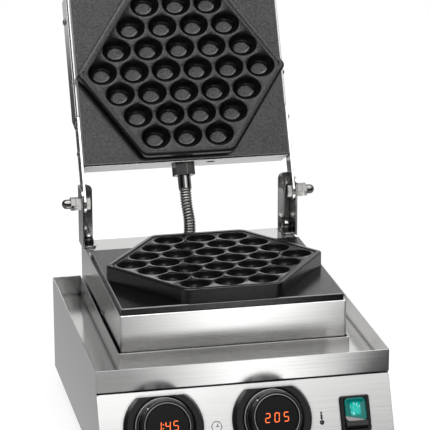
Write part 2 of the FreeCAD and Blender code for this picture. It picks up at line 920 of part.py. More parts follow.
def lid_hood():
    """Cover over the front two thirds of the case, its tail cut back over the arms."""
    half = hood_width / 2
    low = case_level + hood_skirt_rise
    arm_top = pivot_z + arm_width / 2 + running_gap
    section = [
        V(0, hood_front, low),
        V(0, hood_front, hood_top),
        V(0, hood_end, hood_top),
        V(0, hood_end + hood_tail, arm_top),
        V(0, arm_start - running_gap, arm_top),
        V(0, arm_start - running_gap, low),
    ]
    outer = slab(section, half)
    outer = rounded(outer, hood_corner_radius,
                    lambda edge: runs_along(edge, UP) and edge.BoundBox.YMax < hood_front + overrun)
    outer = rounded(outer, bend_radius, lambda edge: lies_at_z(edge, hood_top)
                    and edge.BoundBox.YMin < hood_end - overrun)
    hollow = box(
        (-half + sheet, half - sheet),
        (hood_front + sheet, hood_end + hood_tail + overrun),
        (low - overrun, hood_top - sheet),
    )
    hollow = rounded(hollow, hood_corner_radius - sheet,
                     lambda edge: runs_along(edge, UP) and edge.BoundBox.YMax < hood_front + overrun)
    holes = []
    for sign in SIDES.values():
        for place in hood_screw_list(sign):
            holes.append(rod(screw_radius + fit_clearance, place - ACROSS * sign * overrun,
                             place + ACROSS * sign * overrun))
        holes.append(handle_stud(sign, fit_clearance))
    return outer.cut(hollow).cut(Part.makeCompound(holes))


def hood_screw_list(sign):
    x = sign * hood_width / 2
    front = hood_front + hood_screw_front
    rear = arm_start - hood_screw_rear
    return [V(x, y, case_level + rise) for y, rise in zip((front, rear), hood_screw_rises)]


def hood_screws():
    screws = []
    for sign in SIDES.values():
        screws += [round_head_screw(place, ACROSS * -sign) for place in hood_screw_list(sign)]
    return Part.makeCompound(screws)


def handle_post_place(sign):
    return V(sign * handle_span / 2, hood_front, (case_level + case_top) / 2)


def handle_stud(sign, clearance):
    root = handle_post_place(sign)
    return rod(stud_radius + clearance, root, root + BACK * stud_length)


def handle_posts():
    """Two steel stand-offs, each with a flange on the hood and a stud into the case."""
    posts = []
    for sign in SIDES.values():
        root = handle_post_place(sign)
        flange = rod(post_flange_radius, root - BACK * post_flange, root)
        stem = rod(post_rod_radius, root - BACK * (handle_reach - grip_radius + grip_socket_depth), root)
        posts.append(flange.fuse(stem).fuse(handle_stud(sign, 0)))
    return Part.makeCompound(posts)


def handle_grip():
    """Turned bar, full at the ends and a little waisted where the hand goes."""
    half = handle_length / 2
    bar = turned([
        (0, -half),
        (grip_radius - grip_end_round, -half),
        (grip_radius, -half + grip_end_round),
        (grip_radius, -handle_span / 2 + grip_radius),
        (grip_waist_radius, -handle_span / 4),
        (grip_waist_radius, handle_span / 4),
        (grip_radius, handle_span / 2 - grip_radius),
        (grip_radius, half - grip_end_round),
        (grip_radius - grip_end_round, half),
        (0, half),
    ])
    middle = handle_post_place(0) - BACK * handle_reach
    bar.Placement = FreeCAD.Placement(middle, FreeCAD.Rotation(UP, ACROSS))
    sockets = []
    for sign in SIDES.values():
        root = handle_post_place(sign)
        sockets.append(rod(post_rod_radius + fit_clearance,
                           root - BACK * (handle_reach - grip_radius + grip_socket_depth), root))
    return bar.cut(Part.makeCompound(sockets))


# Hinge

def arm_screw_list(sign):
    places = []
    for along_share, share in zip(arm_screw_along_shares, arm_screw_offset_shares):
        y = arm_start + (case_rear - arm_start) * along_share
        places.append(V(sign * arm_outer, y, pivot_z + arm_width * share))
    return places


def arm(sign):
    """Flat bar from the lid's side to the pivot, square at one end and round at the other."""
    inner, outer = sorted((sign * arm_inner, sign * arm_outer))
    low, high = pivot_z - arm_width / 2, pivot_z + arm_width / 2
    bar = box((inner, outer), (arm_start, pivot_setback), (low, high))
    end = rod(arm_width / 2, V(inner, pivot_setback, pivot_z), V(outer, pivot_setback, pivot_z))
    bar = bar.fuse(end).removeSplitter()
    holes = [rod(bolt_radius + fit_clearance, V(inner - overrun, pivot_setback, pivot_z),
                 V(outer + overrun, pivot_setback, pivot_z))]
    for place in arm_screw_list(sign):
        holes.append(rod(screw_radius + fit_clearance, place - ACROSS * sign * overrun,
                         place + ACROSS * sign * overrun))
    return bar.cut(Part.makeCompound(holes))


def arm_screws():
    screws = []
    for sign in SIDES.values():
        screws += [round_head_screw(place, ACROSS * -sign) for place in arm_screw_list(sign)]
    return Part.makeCompound(screws)


def bracket():
    """Right-hand hinge bracket: a foot on the deck, a leg beside the arm and a return behind."""
    top = deck_level + bracket_height
    leg = box((leg_inner, leg_outer), (bracket_back - bracket_depth, bracket_back), (deck_level, top))
    leg = rounded(leg, bracket_radius, lambda edge: runs_along(edge, ACROSS)
                  and edge.BoundBox.ZMin > top - overrun
                  and edge.BoundBox.YMax < bracket_back - overrun)
    inner = leg_outer - bracket_return
    back = box((inner, leg_outer), (bracket_back - bracket_sheet, bracket_back), (deck_level, top))
    back = rounded(back, bracket_radius, lambda edge: runs_along(edge, BACK)
                   and edge.BoundBox.ZMin > top - overrun
                   and edge.BoundBox.XMax < leg_outer - overrun)
    foot = box(
        (inner, leg_outer),
        (bracket_back - bracket_foot, bracket_back),
        (deck_level, deck_level + bracket_sheet),
    )
    foot = rounded(foot, foot_corner_radius, lambda edge: runs_along(edge, UP)
                   and edge.BoundBox.YMax < bracket_back - overrun
                   and edge.BoundBox.XMax < leg_outer - overrun)
    shape = leg.fuse(back).fuse(foot).removeSplitter()
    bore = rod(bolt_radius + fit_clearance, V(leg_inner - overrun, pivot_setback, pivot_z),
               V(leg_outer + overrun, pivot_setback, pivot_z))
    hole = rod(bracket_bolt_radius + fit_clearance, bracket_bolt(1, -overrun), bracket_bolt(1, overrun))
    return shape.cut(bore).cut(hole)


def bracket_bolt(sign, rise):
    """Point on the axis of the bolt through a bracket's foot, so far above the deck."""
    x = sign * (leg_inner - (bracket_return - bracket_sheet) / 2)
    y = bracket_back - bracket_sheet - (bracket_foot - bracket_sheet) / 2
    return V(x, y, deck_level + rise)


def dome_nut(place, direction, flats, hexagon, neck, dome, length, bore, depth):
    """Hexagon nut closed by a dome, with a blind hole from its seat."""
    profile = [
        (0, 0),
        (dome, 0),
        (dome, hexagon + neck),
    ]
    cap = length - hexagon - neck
    for degrees in (24, 48, 70):
        turn = math.radians(degrees)
        profile.append((dome * math.cos(turn), hexagon + neck + cap * math.sin(turn)))
    profile.append((0, length))
    body = turned(profile)
    body.Placement = FreeCAD.Placement(place, FreeCAD.Rotation(UP, direction))
    nut = body.fuse(prism(flats, place, direction, hexagon))
    return nut.cut(rod(bore, place - direction * overrun, place + direction * depth))


def bracket_bolts():
    """Bolts up through the deck and the bracket's foot, heads inside the housing."""
    parts = []
    for sign in SIDES.values():
        under = bracket_bolt(sign, -sheet)
        top = bracket_bolt(sign, bracket_sheet + bracket_nut_hex)
        head = prism(bracket_bolt_flats, under - UP * bracket_bolt_head, UP, bracket_bolt_head)
        parts.append(head.fuse(rod(bracket_bolt_radius, under, top)))
    return Part.makeCompound(parts)


def bracket_nuts():
    """Dome nut on each bracket's foot."""
    parts = []
    for sign in SIDES.values():
        seat = bracket_bolt(sign, bracket_sheet)
        parts.append(dome_nut(seat, UP, bracket_bolt_flats, bracket_nut_hex, bracket_dome_neck,
                              bracket_dome_radius, bracket_dome_length,
                              bracket_bolt_radius + fit_clearance, bracket_nut_hex))
    return Part.makeCompound(parts)


def pivot_point(sign, x):
    return V(sign * x, pivot_setback, pivot_z)


def pivot_bolts():
    """Bolt from inside each arm, out through the bracket's leg."""
    parts = []
    for sign in SIDES.values():
        out = ACROSS * sign
        seat = pivot_point(sign, arm_inner - seat_gap)
        tip = pivot_point(sign, leg_outer + lock_nut + dome_hex)
        head = prism(bolt_flats, seat - out * bolt_head, out, bolt_head)
        parts.append(head.fuse(rod(bolt_radius, seat, tip)))
    return Part.makeCompound(parts)


def pivot_lock_nuts():
    parts = []
    for sign in SIDES.values():
        out = ACROSS * sign
        seat = pivot_point(sign, leg_outer)
        nut = prism(bolt_flats, seat, out, lock_nut)
        parts.append(nut.cut(rod(bolt_radius + fit_clearance, seat - out * overrun,
                                 seat + out * (lock_nut + overrun))))
    return Part.makeCompound(parts)


def pivot_dome_nuts():
    parts = []
    for sign in SIDES.values():
        out = ACROSS * sign
        seat = pivot_point(sign, leg_outer + lock_nut)
        parts.append(dome_nut(seat, out, bolt_flats, dome_hex, dome_neck, dome_radius, dome_length,
                              bolt_radius + fit_clearance, dome_hex))
    return Part.makeCompound(parts)


# Conduit

def gland_place(beyond):
    """Point on the lid gland's axis, so far behind the case's back wall, lid closed."""
    return V(gland_across, case_rear + beyond, case_level + gland_rise)


def lid_gland():
    """Hexagon gland on the lid's back wall, with its thread and lock nut inside."""
    body = prism(gland_flats, gland_place(0), BACK, gland_length, gland_turn)
    thread = rod(gland_thread_radius, gland_place(-sheet - gland_inner_nut), gland_place(0))
    nut = prism(gland_nut_flats, gland_place(-sheet - gland_inner_nut), BACK, gland_inner_nut)
    bore = rod(hose_bore_radius, gland_place(-gland_length), gland_place(gland_length + overrun))
    return body.fuse(thread).fuse(nut).cut(bore)


def ferrule():
    tube = rod(ferrule_radius, gland_place(gland_length), gland_place(gland_length + ferrule_length))
    bore = rod(hose_bore_radius, gland_place(0), gland_place(gland_length + ferrule_length + overrun))
    return tube.cut(bore)


def hose_ends():
    """Places where the hose leaves the lid's ferrule and where it meets the deck gland."""
    tip = opened(Part.Vertex(gland_place(gland_length + ferrule_length))).Point
    bend = hose_straight * math.sin(lean) + hose_bend_radius * (1 - math.cos(lean))
    return tip, V(tip.x + hose_drift, tip.y - bend, deck_level + deck_gland_height)


def hose_length():
    tip, end = hose_ends()
    fall = hose_straight * math.cos(lean) + hose_bend_radius * math.sin(lean)
    return hose_straight + hose_bend_radius * lean + tip.z - fall - end.z


def hose_station(distance):
    """Place and heading on the hose's line, so far from the lid's end."""
    tip, end = hose_ends()
    bend = hose_bend_radius * lean
    share = min(max((distance - hose_straight) / bend, 0), 1)
    drift = hose_drift * share * share * (3 - 2 * share)
    drift_rate = hose_drift * 6 * share * (1 - share) / bend
    turn = lean * (1 - share)
    heading = V(drift_rate, -math.sin(turn), -math.cos(turn))
    run = min(distance, hose_straight)
    y = tip.y - run * math.sin(lean) - hose_bend_radius * (math.cos(turn) - math.cos(lean))
    z = tip.z - run * math.cos(lean) - hose_bend_radius * (math.sin(lean) - math.sin(turn))
    z -= max(distance - hose_straight - bend, 0)
    return V(tip.x + drift, y, z), heading.normalize()


def hose_ring(distance, radius):
    """Circle round the hose's line, its own X axis kept as near X as it can be."""
    place, heading = hose_station(distance)
    side = heading.cross(ACROSS).normalize()
    along = side.cross(heading)
    ring = Part.Circle(ORIGIN, UP, radius)
    turn = FreeCAD.Matrix(
        along.x, side.x, heading.x, place.x,
        along.y, side.y, heading.y, place.y,
        along.z, side.z, heading.z, place.z,
        0, 0, 0, 1,
    )
    wire = Part.Wire(ring.toShape())
    wire.Placement = FreeCAD.Placement(turn)
    return wire


def conduit_hose():
    """Ribbed metal hose from the lid's ferrule down to the deck, with its bore."""
    length = hose_length()
    ribs = int((length - rib_pitch / 2) // rib_pitch)
    pitch = length / ribs
    root_first, crest_first, crest_last, root_last = rib_shares
    rings = []
    for rib in range(ribs):
        for share, radius in (
            (root_first, hose_root_radius),
            (crest_first, hose_crest_radius),
            (crest_last, hose_crest_radius),
            (root_last, hose_root_radius),
        ):
            rings.append(hose_ring((rib + share) * pitch, radius))
    rings.append(hose_ring(length, hose_root_radius))
    skin = Part.makeLoft(rings, True, True)
    stations = [length * step / bore_steps for step in range(bore_steps + 1)]
    inner = [hose_ring(station, hose_bore_radius) for station in stations]
    return skin.cut(Part.makeLoft(inner, True, True))


def gland_hole():
    place = hose_ends()[1]
    return rod(gland_thread_radius + fit_clearance, place - UP * gland_length, place)


def deck_gland():
    """Hexagon collar on the deck with a threaded neck and lock nut below it."""
    top = hose_ends()[1]
    seat = top - UP * deck_gland_height
    foot = seat - UP * (sheet + gland_inner_nut)
    collar = prism(gland_nut_flats, seat, UP, deck_gland_height)
    neck = rod(gland_thread_radius, foot, seat)
    nut = prism(gland_nut_flats, foot, UP, gland_inner_nut)
    bore = rod(hose_bore_radius, foot - UP * overrun, top + UP * overrun)
    return collar.fuse(neck).fuse(nut).cut(bore)


# Under and inside the base

def foot_places():
    across = base_width / 2 - foot_inset
    for x in (-across, across):
        for y in (panel_bottom_y + 2 * foot_inset, pan_to_rear_face - foot_inset):
            yield V(x, y, 0)


def feet():
    """Rubber feet, a little narrower at the table, each with its stud through the plate."""
    made = []
    for place in foot_places():
        foot = turned([
            (0, 0),
            (foot_top_radius, 0),
            (foot_radius, foot_height),
            (foot_stud_radius, foot_height),
            (foot_stud_radius, foot_height + sheet + foot_nut),
            (0, foot_height + sheet + foot_nut),
        ])
        foot.translate(place)
        made.append(foot)
    return Part.makeCompound(made)


def foot_nuts():
    """Nut on each foot's stud, inside the base."""
    made = []
    for place in foot_places():
        seat = place + UP * (foot_height + sheet)
        nut = prism(foot_nut_flats, seat, UP, foot_nut)
        made.append(nut.cut(rod(foot_stud_radius + fit_clearance, seat, seat + UP * foot_nut)))
    return Part.makeCompound(made)


def bottom_screw_places():
    across = base_width / 2 - sheet - bottom_flange / 2
    for x in (-across, across):
        for y in (panel_bottom_y + foot_inset, pan_to_rear_face - sheet - bottom_flange / 2):
            yield V(x, y, foot_height)


def bottom_plate():
    """Plate that closes the base, with vent slots and the holes for feet and screws."""
    plate = box(
        (-base_width / 2 + sheet + seat_gap, base_width / 2 - sheet - seat_gap),
        (panel_bottom_y + panel_sheet * 2, pan_to_rear_face - sheet - seat_gap),
        (foot_height, foot_height + sheet),
    )
    holes = []
    for place in foot_places():
        holes.append(rod(foot_stud_radius + fit_clearance, place, place + UP * base_height))
    for place in bottom_screw_places():
        holes.append(rod(screw_radius + fit_clearance, place - UP * overrun, place + UP * overrun))
    for step in range(vents_in_row):
        slot = vent_slot(vent_length, vent_width, base_height)
        slot.translate(V(0, (step - (vents_in_row - 1) / 2) * vent_pitch, 0))
        holes.append(slot)
    return plate.cut(Part.makeCompound(holes))


def bottom_screws():
    return Part.makeCompound(
        [round_head_screw(place, UP) for place in bottom_screw_places()]
    )


def control_board():
    """Circuit board with its relays and transformer."""
    low = foot_height + sheet + board_spacer_height
    card = box(
        (board_across - board_width / 2, board_across + board_width / 2),
        (board_y - board_depth / 2, board_y + board_depth / 2),
        (low, low + board_sheet),
    )
    top = low + board_sheet
    body = card
    for step in range(3):
        x = board_across - board_width / 2 + relay_depth + step * relay_width * 3 / 2
        relay = box((x, x + relay_width), (board_y, board_y + relay_depth), (top, top + relay_height))
        body = body.fuse(relay)
    x = board_across + board_width / 2 - transformer_width - relay_depth
    core = box(
        (x, x + transformer_width),
        (board_y - transformer_width, board_y - relay_depth / 2),
        (top, top + transformer_height),
    )
    return body.fuse(core)


def board_spacers():
    made = []
    low = foot_height + sheet
    for x_sign in SIDES.values():
        for y_sign in SIDES.values():
            place = V(
                board_across + x_sign * (board_width / 2 - 2 * board_spacer_radius),
                board_y + y_sign * (board_depth / 2 - 2 * board_spacer_radius),
                low,
            )
            made.append(prism(2 * board_spacer_radius, place, UP, board_spacer_height))
    return Part.makeCompound(made)


def terminal_block():
    """Row of screw terminals for the mains leads."""
    low = foot_height + sheet
    across = base_width * terminal_block_across_share
    body = box(
        (across - terminal_block_width / 2, across + terminal_block_width / 2),
        (terminal_block_y - terminal_block_depth / 2, terminal_block_y + terminal_block_depth / 2),
        (low, low + terminal_block_height),
    )
    walls = int(terminal_block_width // terminal_pitch)
    pitch = terminal_block_width / walls
    left = across - terminal_block_width / 2
    bays = []
    for bay in range(walls):
        start = left + bay * pitch + sheet
        for y_sign in SIDES.values():
            edges = (
                terminal_block_y + y_sign * sheet,
                terminal_block_y + y_sign * (terminal_block_depth / 2 + overrun),
            )
            bays.append(box((start, start + pitch - 2 * sheet), sorted(edges),
                            (low + terminal_block_height / 2, low + 2 * terminal_block_height)))
    return body.cut(Part.makeCompound(bays))


def inlet_place(beyond):
    """Point on the cable inlet's axis, so far behind the back of the base."""
    return V(inlet_across, pan_to_rear_face + beyond, foot_height + inlet_height)


def cable_inlet():
    """Cable gland in the back of the base: hexagon, domed cap and inner lock nut."""
    body = prism(inlet_flats, inlet_place(0), BACK, inlet_hex)
    cap = turned([
        (0, 0),
        (inlet_cap_radius, 0),
        (inlet_cap_radius, inlet_cap_length - 2 * bend_radius),
        (inlet_cap_radius - 2 * bend_radius, inlet_cap_length),
        (0, inlet_cap_length),
    ])
    cap.Placement = FreeCAD.Placement(inlet_place(inlet_hex), FreeCAD.Rotation(UP, BACK))
    thread = rod(inlet_thread_radius, inlet_place(-sheet - inlet_nut), inlet_place(0))
    nut = prism(inlet_flats, inlet_place(-sheet - inlet_nut), BACK, inlet_nut)
    bore = rod(inlet_bore_radius, inlet_place(-sheet - inlet_nut - overrun),
               inlet_place(inlet_hex + inlet_cap_length + overrun))
    return body.fuse(cap).fuse(thread).fuse(nut).cut(bore)


def make_nodes():
    """Every piece of the machine, by name, with the lid standing open."""
    lower = heater_stack(deck_level, housing_height)
    upper = heater_stack(plate_top - lid_plate_thickness, case_height - sheet)
    lid_casting = casting(lid_plate_width, pan_to_lid_plate_front, pan_to_lid_plate_rear,
                          lid_plate_thickness)
    right_bracket = bracket()
    rocker_body, rocker_lens = rocker()
    nodes = {
        "base_shell": base_shell(),
        "bottom_plate": bottom_plate(),
        "bottom_screws": bottom_screws(),
        "feet": feet(),
        "foot_nuts": foot_nuts(),
        "control_panel": control_panel(),
        "heater_housing": housing(),
        "housing_screws": housing_screws(),
        "lower_pan": casting(plate_width, pan_to_plate_front, pan_to_plate_rear, plate_thickness),
        "drip_tray": drip_tray(),
        "left_bracket": mirrored(right_bracket),
        "right_bracket": right_bracket,
        "bracket_bolts": bracket_bolts(),
        "bracket_nuts": bracket_nuts(),
        "pivot_bolts": pivot_bolts(),
        "pivot_lock_nuts": pivot_lock_nuts(),
        "pivot_dome_nuts": pivot_dome_nuts(),
        "deck_gland": deck_gland(),
        "conduit_hose": conduit_hose(),
        "switch_body": on_panel(switch_body(), switch_across, switch_drop),
        "switch_rocker": on_panel(rocker_body, switch_across, switch_drop),
        "switch_lens": on_panel(rocker_lens, switch_across, switch_drop),
        "control_board": control_board(),
        "board_spacers": board_spacers(),
        "terminal_block": terminal_block(),
        "cable_inlet": cable_inlet(),
    }
    for name, across in zip(("timer", "thermostat"), dial_places()):
        nodes[name + "_bezel"] = on_panel(dial_bezel(), across, dial_drop)
        nodes[name + "_ring"] = on_panel(dial_ring(), across, dial_drop)
        nodes[name + "_core"] = on_panel(dial_core(), across, dial_drop)
        nodes[name + "_lens"] = on_panel(dial_lens(), across, dial_drop)
    for name, shape in lower.items():
        nodes["lower_" + name] = shape
    closed_lid = {
        "upper_pan": flipped(lid_casting),
        "lid_case": lid_case(),
        "lid_hood": lid_hood(),
        "hood_screws": hood_screws(),
        "left_arm": arm(-1),
        "right_arm": arm(1),
        "arm_screws": arm_screws(),
        "handle_posts": handle_posts(),
        "handle_grip": handle_grip(),
        "lid_gland": lid_gland(),
        "ferrule": ferrule(),
    }
    for name, shape in upper.items():
        closed_lid["upper_" + name] = flipped(shape)
    for name, shape in closed_lid.items():
        nodes[name] = opened(shape)
    return nodes


def plan_middle(nodes):
    """Middle of the whole part from front to back, over its foremost pieces and the handle."""
    front = min(nodes[name].optimalBoundingBox(False).YMin for name in FRONT_NODES)
    rear = nodes["handle_grip"].optimalBoundingBox(False).YMax
    return (front + rear) / 2


def main():
    """Write every node, moved so that the origin is under the middle of the whole part."""
    os.makedirs("parts", exist_ok=True)
    nodes = make_nodes()
    shift = BACK * -plan_middle(nodes)
    for name, shape in nodes.items():
        placed = shape.copy()
        placed.translate(shift)
        placed.exportStep(os.path.join("parts", name + ".step"))


main()
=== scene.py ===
"""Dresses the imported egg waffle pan: castings, conduit, displays, signs, materials and light.

Sizes are in millimetres and are turned into metres where a mesh is made.  Lid pieces are drawn on
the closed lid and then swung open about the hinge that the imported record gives.
"""
import json
import math

import bmesh
import bpy
from mathutils import Matrix, Vector
from mathutils.geometry import delaunay_2d_cdt


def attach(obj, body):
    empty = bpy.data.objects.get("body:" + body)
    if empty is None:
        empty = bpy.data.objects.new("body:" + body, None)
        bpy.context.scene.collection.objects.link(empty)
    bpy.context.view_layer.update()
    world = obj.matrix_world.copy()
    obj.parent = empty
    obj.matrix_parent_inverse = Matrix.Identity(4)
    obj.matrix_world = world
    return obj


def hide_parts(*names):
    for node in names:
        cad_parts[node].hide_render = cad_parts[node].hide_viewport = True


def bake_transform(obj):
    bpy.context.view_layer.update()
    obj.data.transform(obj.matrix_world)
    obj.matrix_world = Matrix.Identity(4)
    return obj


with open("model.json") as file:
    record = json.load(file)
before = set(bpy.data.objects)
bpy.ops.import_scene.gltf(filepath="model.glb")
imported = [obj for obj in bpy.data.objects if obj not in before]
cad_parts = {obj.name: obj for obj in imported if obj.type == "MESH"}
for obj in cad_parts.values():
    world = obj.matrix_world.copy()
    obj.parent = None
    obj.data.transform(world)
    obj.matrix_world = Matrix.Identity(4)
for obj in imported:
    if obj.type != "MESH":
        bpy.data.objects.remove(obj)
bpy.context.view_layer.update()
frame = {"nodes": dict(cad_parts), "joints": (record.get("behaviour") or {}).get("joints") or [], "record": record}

MM = 0.001
WELD_DISTANCE = 0.002
PLANE_TOLERANCE = 1e-5

# The camera, fitted to the photograph's two lattices of cells; its clip end is in metres
PHOTO_SIZE = 430
FOCAL_PIXELS = 2407.15
SENSOR = 36.0
CAMERA_AT = (-483.7, -2369.8, 966.7)
CAMERA_RIGHT = (0.97877192, -0.20492127, -0.00357768)
CAMERA_DOWN = (-0.06410907, -0.28953269, -0.95501877)
CAMERA_AHEAD = (0.1946678, 0.93497492, -0.29652378)
PHOTO_CENTRE = (215.53, 216.11)
CAMERA_CLIP_END = 50

# The pan's own place in the frame: middle of the lower lattice, on the recessed face
PAN_Y = -41.82
PAN_Z = 181.86

# Castings
LOWER_PLATE = {"half_width": 114.5, "front": -93.3, "rear": 100.0, "thickness": 7.0}
UPPER_PLATE = {"half_width": 114.0, "front": -93.5, "rear": 96.5, "thickness": 4.4}
PLATE_CORNER = 2.0
PLATE_CORNER_LEAST = 0.4
PLATE_ARRIS = 0.9
BLOCK_HEIGHT = 14.5
RIM_HEIGHT = 0.8
RIM_WIDTH = 4.6
HEX_VERTEX = 115.3
HEX_CORNER = 50.0
HEX_HALF_DEPTH = 93.0
VERTEX_ROUND = 6.0
VERTEX_ROUND_GAIN = 0.55
CORNER_ROUND = 12.0
CORNER_ROUND_LOSS = 0.6
PAN_FOOT_MARGIN = 1.0
MEETING_PLANE = 1.0
CELL_PITCH = 35.0
ROW_SPACING = 24.35
CELL_HALF_LENGTH = 15.7
CELL_HALF_WIDTH = 12.6
CELL_DEPTH = 12.5
CELLS_IN_ROWS = (3, 4, 5, 6, 5, 4, 3)
CELL_POINTS = 44
CELL_PROFILE = (
    (1.03, 0.0), (1.008, 0.01), (0.99, 0.045), (0.96, 0.16), (0.915, 0.33), (0.86, 0.47),
    (0.79, 0.61), (0.73, 0.76), (0.66, 0.89), (0.58, 0.96), (0.49, 0.99), (0.38, 1.0),
)

# The pan's side from the plate upwards, each point's inset first: its height above the plate,
# then above the rim's top, then above the recessed face
PAN_FOOT = ((-0.2, 0.0), (0.0, 0.8))
PAN_EDGE = ((0.0, -1.3), (0.12, -0.7), (0.45, -0.25), (1.0, 0.0), (RIM_WIDTH - 0.2, 0.0),
            (RIM_WIDTH, -0.15))
PAN_GROOVE = ((RIM_WIDTH + 0.1, -0.3), (RIM_WIDTH + 0.9, -0.3), (RIM_WIDTH + 1.1, 0.0))

# Conduit: its line on the open lid starts at the ferrule and ends at the deck's gland
HOSE_TOP = (-2.0, 105.888, 214.759)
HOSE_STRAIGHT = 12.4
HOSE_BEND_RADIUS = 62.0
HOSE_DRIFT = 2.5
HOSE_LENGTH = 52.908
HOSE_RIBS = 18
HOSE_POINTS = 40
RIB_PROFILE = ((0.0, 5.35), (0.12, 5.45), (0.22, 6.1), (0.3, 6.6), (0.4, 6.75), (0.56, 6.72),
               (0.66, 6.5), (0.76, 6.0), (0.84, 5.4))

# Dials, from the panel's face outwards
RING_PROFILE = ((22.25, 24.6), (22.4, 25.1), (22.75, 25.3), (23.1, 25.1), (23.3, 24.85),
                (24.4, 25.3), (25.4, 25.2), (26.2, 24.6), (26.65, 23.6), (27.0, 20.0),
                (27.4, 15.0), (27.7, 10.0), (28.0, 8.2), (28.7, 7.9), (29.35, 7.7), (29.5, 7.2),
                (29.5, 3.3), (29.1, 2.9), (22.25, 2.9))
# Bands of the ring that take a paler grey: painted highlights on its edges
RING_HIGHLIGHT_BANDS = (1, 2, 13, 14)
RING_POINTS = 96
DIAL_MARK = {"turn": 135, "radius": 26.0, "height": 24.9, "points": 16}
DIAL_MARK_DOME = ((0.62, -0.4), (0.6, 0.05), (0.4, 0.2))
DISPLAY_HEIGHT = 24.0
DISPLAY_SINK = 0.05
DIGIT_HEIGHT = 9.6
DIGIT_WIDTH = 5.2
DIGIT_SLANT = 0.09
SEGMENT_WIDTH = 0.85
SEGMENT_THICKNESS = 0.25
SEGMENT_GAP_SHARE = 0.16
SEGMENT_POINT_SHARE = 0.5
DIGIT_SEGMENTS = {"1": "bc", "4": "bcfg", "5": "acdfg", "2": "abdeg", "0": "abcdef"}
DISPLAYS = {
    "timer_turn": (("1", -8.6), ("4", 0.4), ("5", 8.4)),
    "thermostat_turn": (("2", -9.4), ("0", 0.0), ("5", 9.4)),
}
COLON = {"across": -4.3, "rises": (-1.9, 1.9), "radius": 0.62, "points": 12}

# Switch window, from the panel's face outwards, on the tilted rocker
WINDOW = {"half_width": 10.8, "low": -8.6, "high": 15.0, "corner": 4.2, "corner_least": 0.5,
          "corner_steps": 6, "crown": 3.35, "rise": 2.6, "dip": 2.5}
WINDOW_SKIN = ((0.0, -1.6), (0.0, -0.7), (0.35, -0.2), (1.1, 0.05), (1.9, 0.0), (3.4, -0.12),
               (5.4, -0.25), (7.4, -0.35), (9.4, -0.4))
ROCKER_TILT = 8.0
ROCKER_PIVOT_DEPTH = 1.5
ROCKER_REACH = 15.2

# Signs printed on the panel, from the nearer dial's middle: across, and up the slope
CLOCK_AT = (53.3, -3.2)
CLOCK_RADIUS = 5.3
CLOCK_HANDS = ((3.1, 62), (2.3, 4))
CLOCK_POINTS = 48
THERMOMETER_AT = (50.6, -7.6)
THERMOMETER_BULB = (0.4, 2.4)
THERMOMETER_DOTS = ((4.1, 1.3), (6.8, 1.3), (9.5, 1.15))
BULB_POINTS = 28
DOT_POINTS = 20
SIGN_LINE = 0.6
SIGN_THICKNESS = 0.12

# Materials.  A span is the low and the high end of what comes in, or of what goes out.
EVEN = (1, 1, 1)
NOISE_SPAN = (0.3, 0.7)
BEVEL_SAMPLES = 6
STEEL = (0.76, 0.757, 0.75)
STEEL_ROUGHNESS = 0.145
SHEET_GRAIN = (6, 6, 2600)
FITTING_GRAIN = (60, 60, 60)
STREAK_DETAIL = 4
STREAK_ROUGHNESS = (-0.02, 0.03)
STREAK_TINT = (0.92, 1.08)
STREAK_BUMP = {"strength": 0.05, "distance": 0.0001, "edge": 0.0006}
SMEAR_SCALE = (9, 9, 9)
SMEAR_DETAIL = 3
SMEAR_SPAN = (0.35, 0.65)
SMEAR_ROUGHNESS = (-0.015, 0.02)
BRUSHING = 0.8
# Painted shade on steel: the dark colour it goes to in corners and gaps, and the reach, samples and span of the
# occlusion behind it
PAINTED_SHADE_COLOUR = (0.09, 0.085, 0.08)
CORNER_SHADE_REACH = 0.006
CORNER_SHADE_SAMPLES = 6
CORNER_SHADE_SPAN = (0.35, 0.8)
# Painted shade on the lid's case: occlusion reaching further, and its sides that face across darkened
PAINTED_LID_SHADE = {"shade_reach": 0.03, "painted_side_shade": 0.85}
IRON_GRAIN = {"scale": 750, "detail": 4, "rough": 0.75}
IRON_BUMP = {"strength": 0.22, "distance": 0.00035}
IRON_PATCHES = {"scale": 38, "detail": 4}
IRON_TINT = (0.72, 1.35)
IRON_GRAIN_SHARE = 0.65
IRON_PATCH_SHARE = 0.35
IRON_ROUGHNESS = (-0.02, 0.05)
IRON_GLEAM_SPAN = (0.4, 0.6)
IRON_GLEAM = (0.3, 0.8)
SATIN_TEXTURE = {"scale": 2600, "detail": 2}
SATIN_SMEARS = {"scale": 60, "detail": 3}
SATIN_ROUGHNESS = (-0.05, 0.06)
SATIN_DEPTH = 0.0002
LAMP_FLICKER = {"scale": 900, "detail": 2}
LAMP_SPAN = (0.8, 1.15)
LAMP_ROUGHNESS = 0.3

# Switch window, in its own millimetres: where the lamp behind it shows, its glints, and its lower facet painted
# paler as a reflection
GLOW = {"middle": (0, 4), "reach": (5, 6), "fade": (0.75, 1.25), "colour": (0.0, 0.75, 0.64),
        "power": 0.45}
GLINT = {"stretch": (1, 0.3, 1), "scale": 0.42, "detail": 3, "span": (0.5, 0.6),
         "colour": (0.75, 1.0, 0.93), "power": 0.5}
FACET_REFLECTION = {"top": WINDOW["low"] + 3.0, "slope": 0.26, "softness": 0.3, "colour": (0.2, 0.185, 0.19)}

# Studio, by the direction that a reflection looks in.  Four numbers say how a strength changes:
# over which span of the direction, and from which value to which.
MATT_SKY = 0.8
BAND_TO_RIGHT = (0.17, 0.36, 2.4, 1.0)
BAND_TO_LEFT = (-0.2, 0.08, 0.08, 1)
BAND_TOP = (0.72, 0.88, 0, 1)
BAND_FOOT = (0.42, 0.5, 0, 1)
ZENITH = 0.45
LOW_FRONT = 0.03
WALL_UPWARDS = (0.0, 0.6, 1.25, 0.45)
WALL_TO_LEFT = (-0.22, 0.02, 0.14, 1)
WALL_TO_RIGHT = (0.18, 0.28, 1, 1.25)
FRONT_TO_BACK = (-0.2, 0.3, 0, 1)
SKY_TO_SIDES = (0.45, 0.8, 1, 0.2)

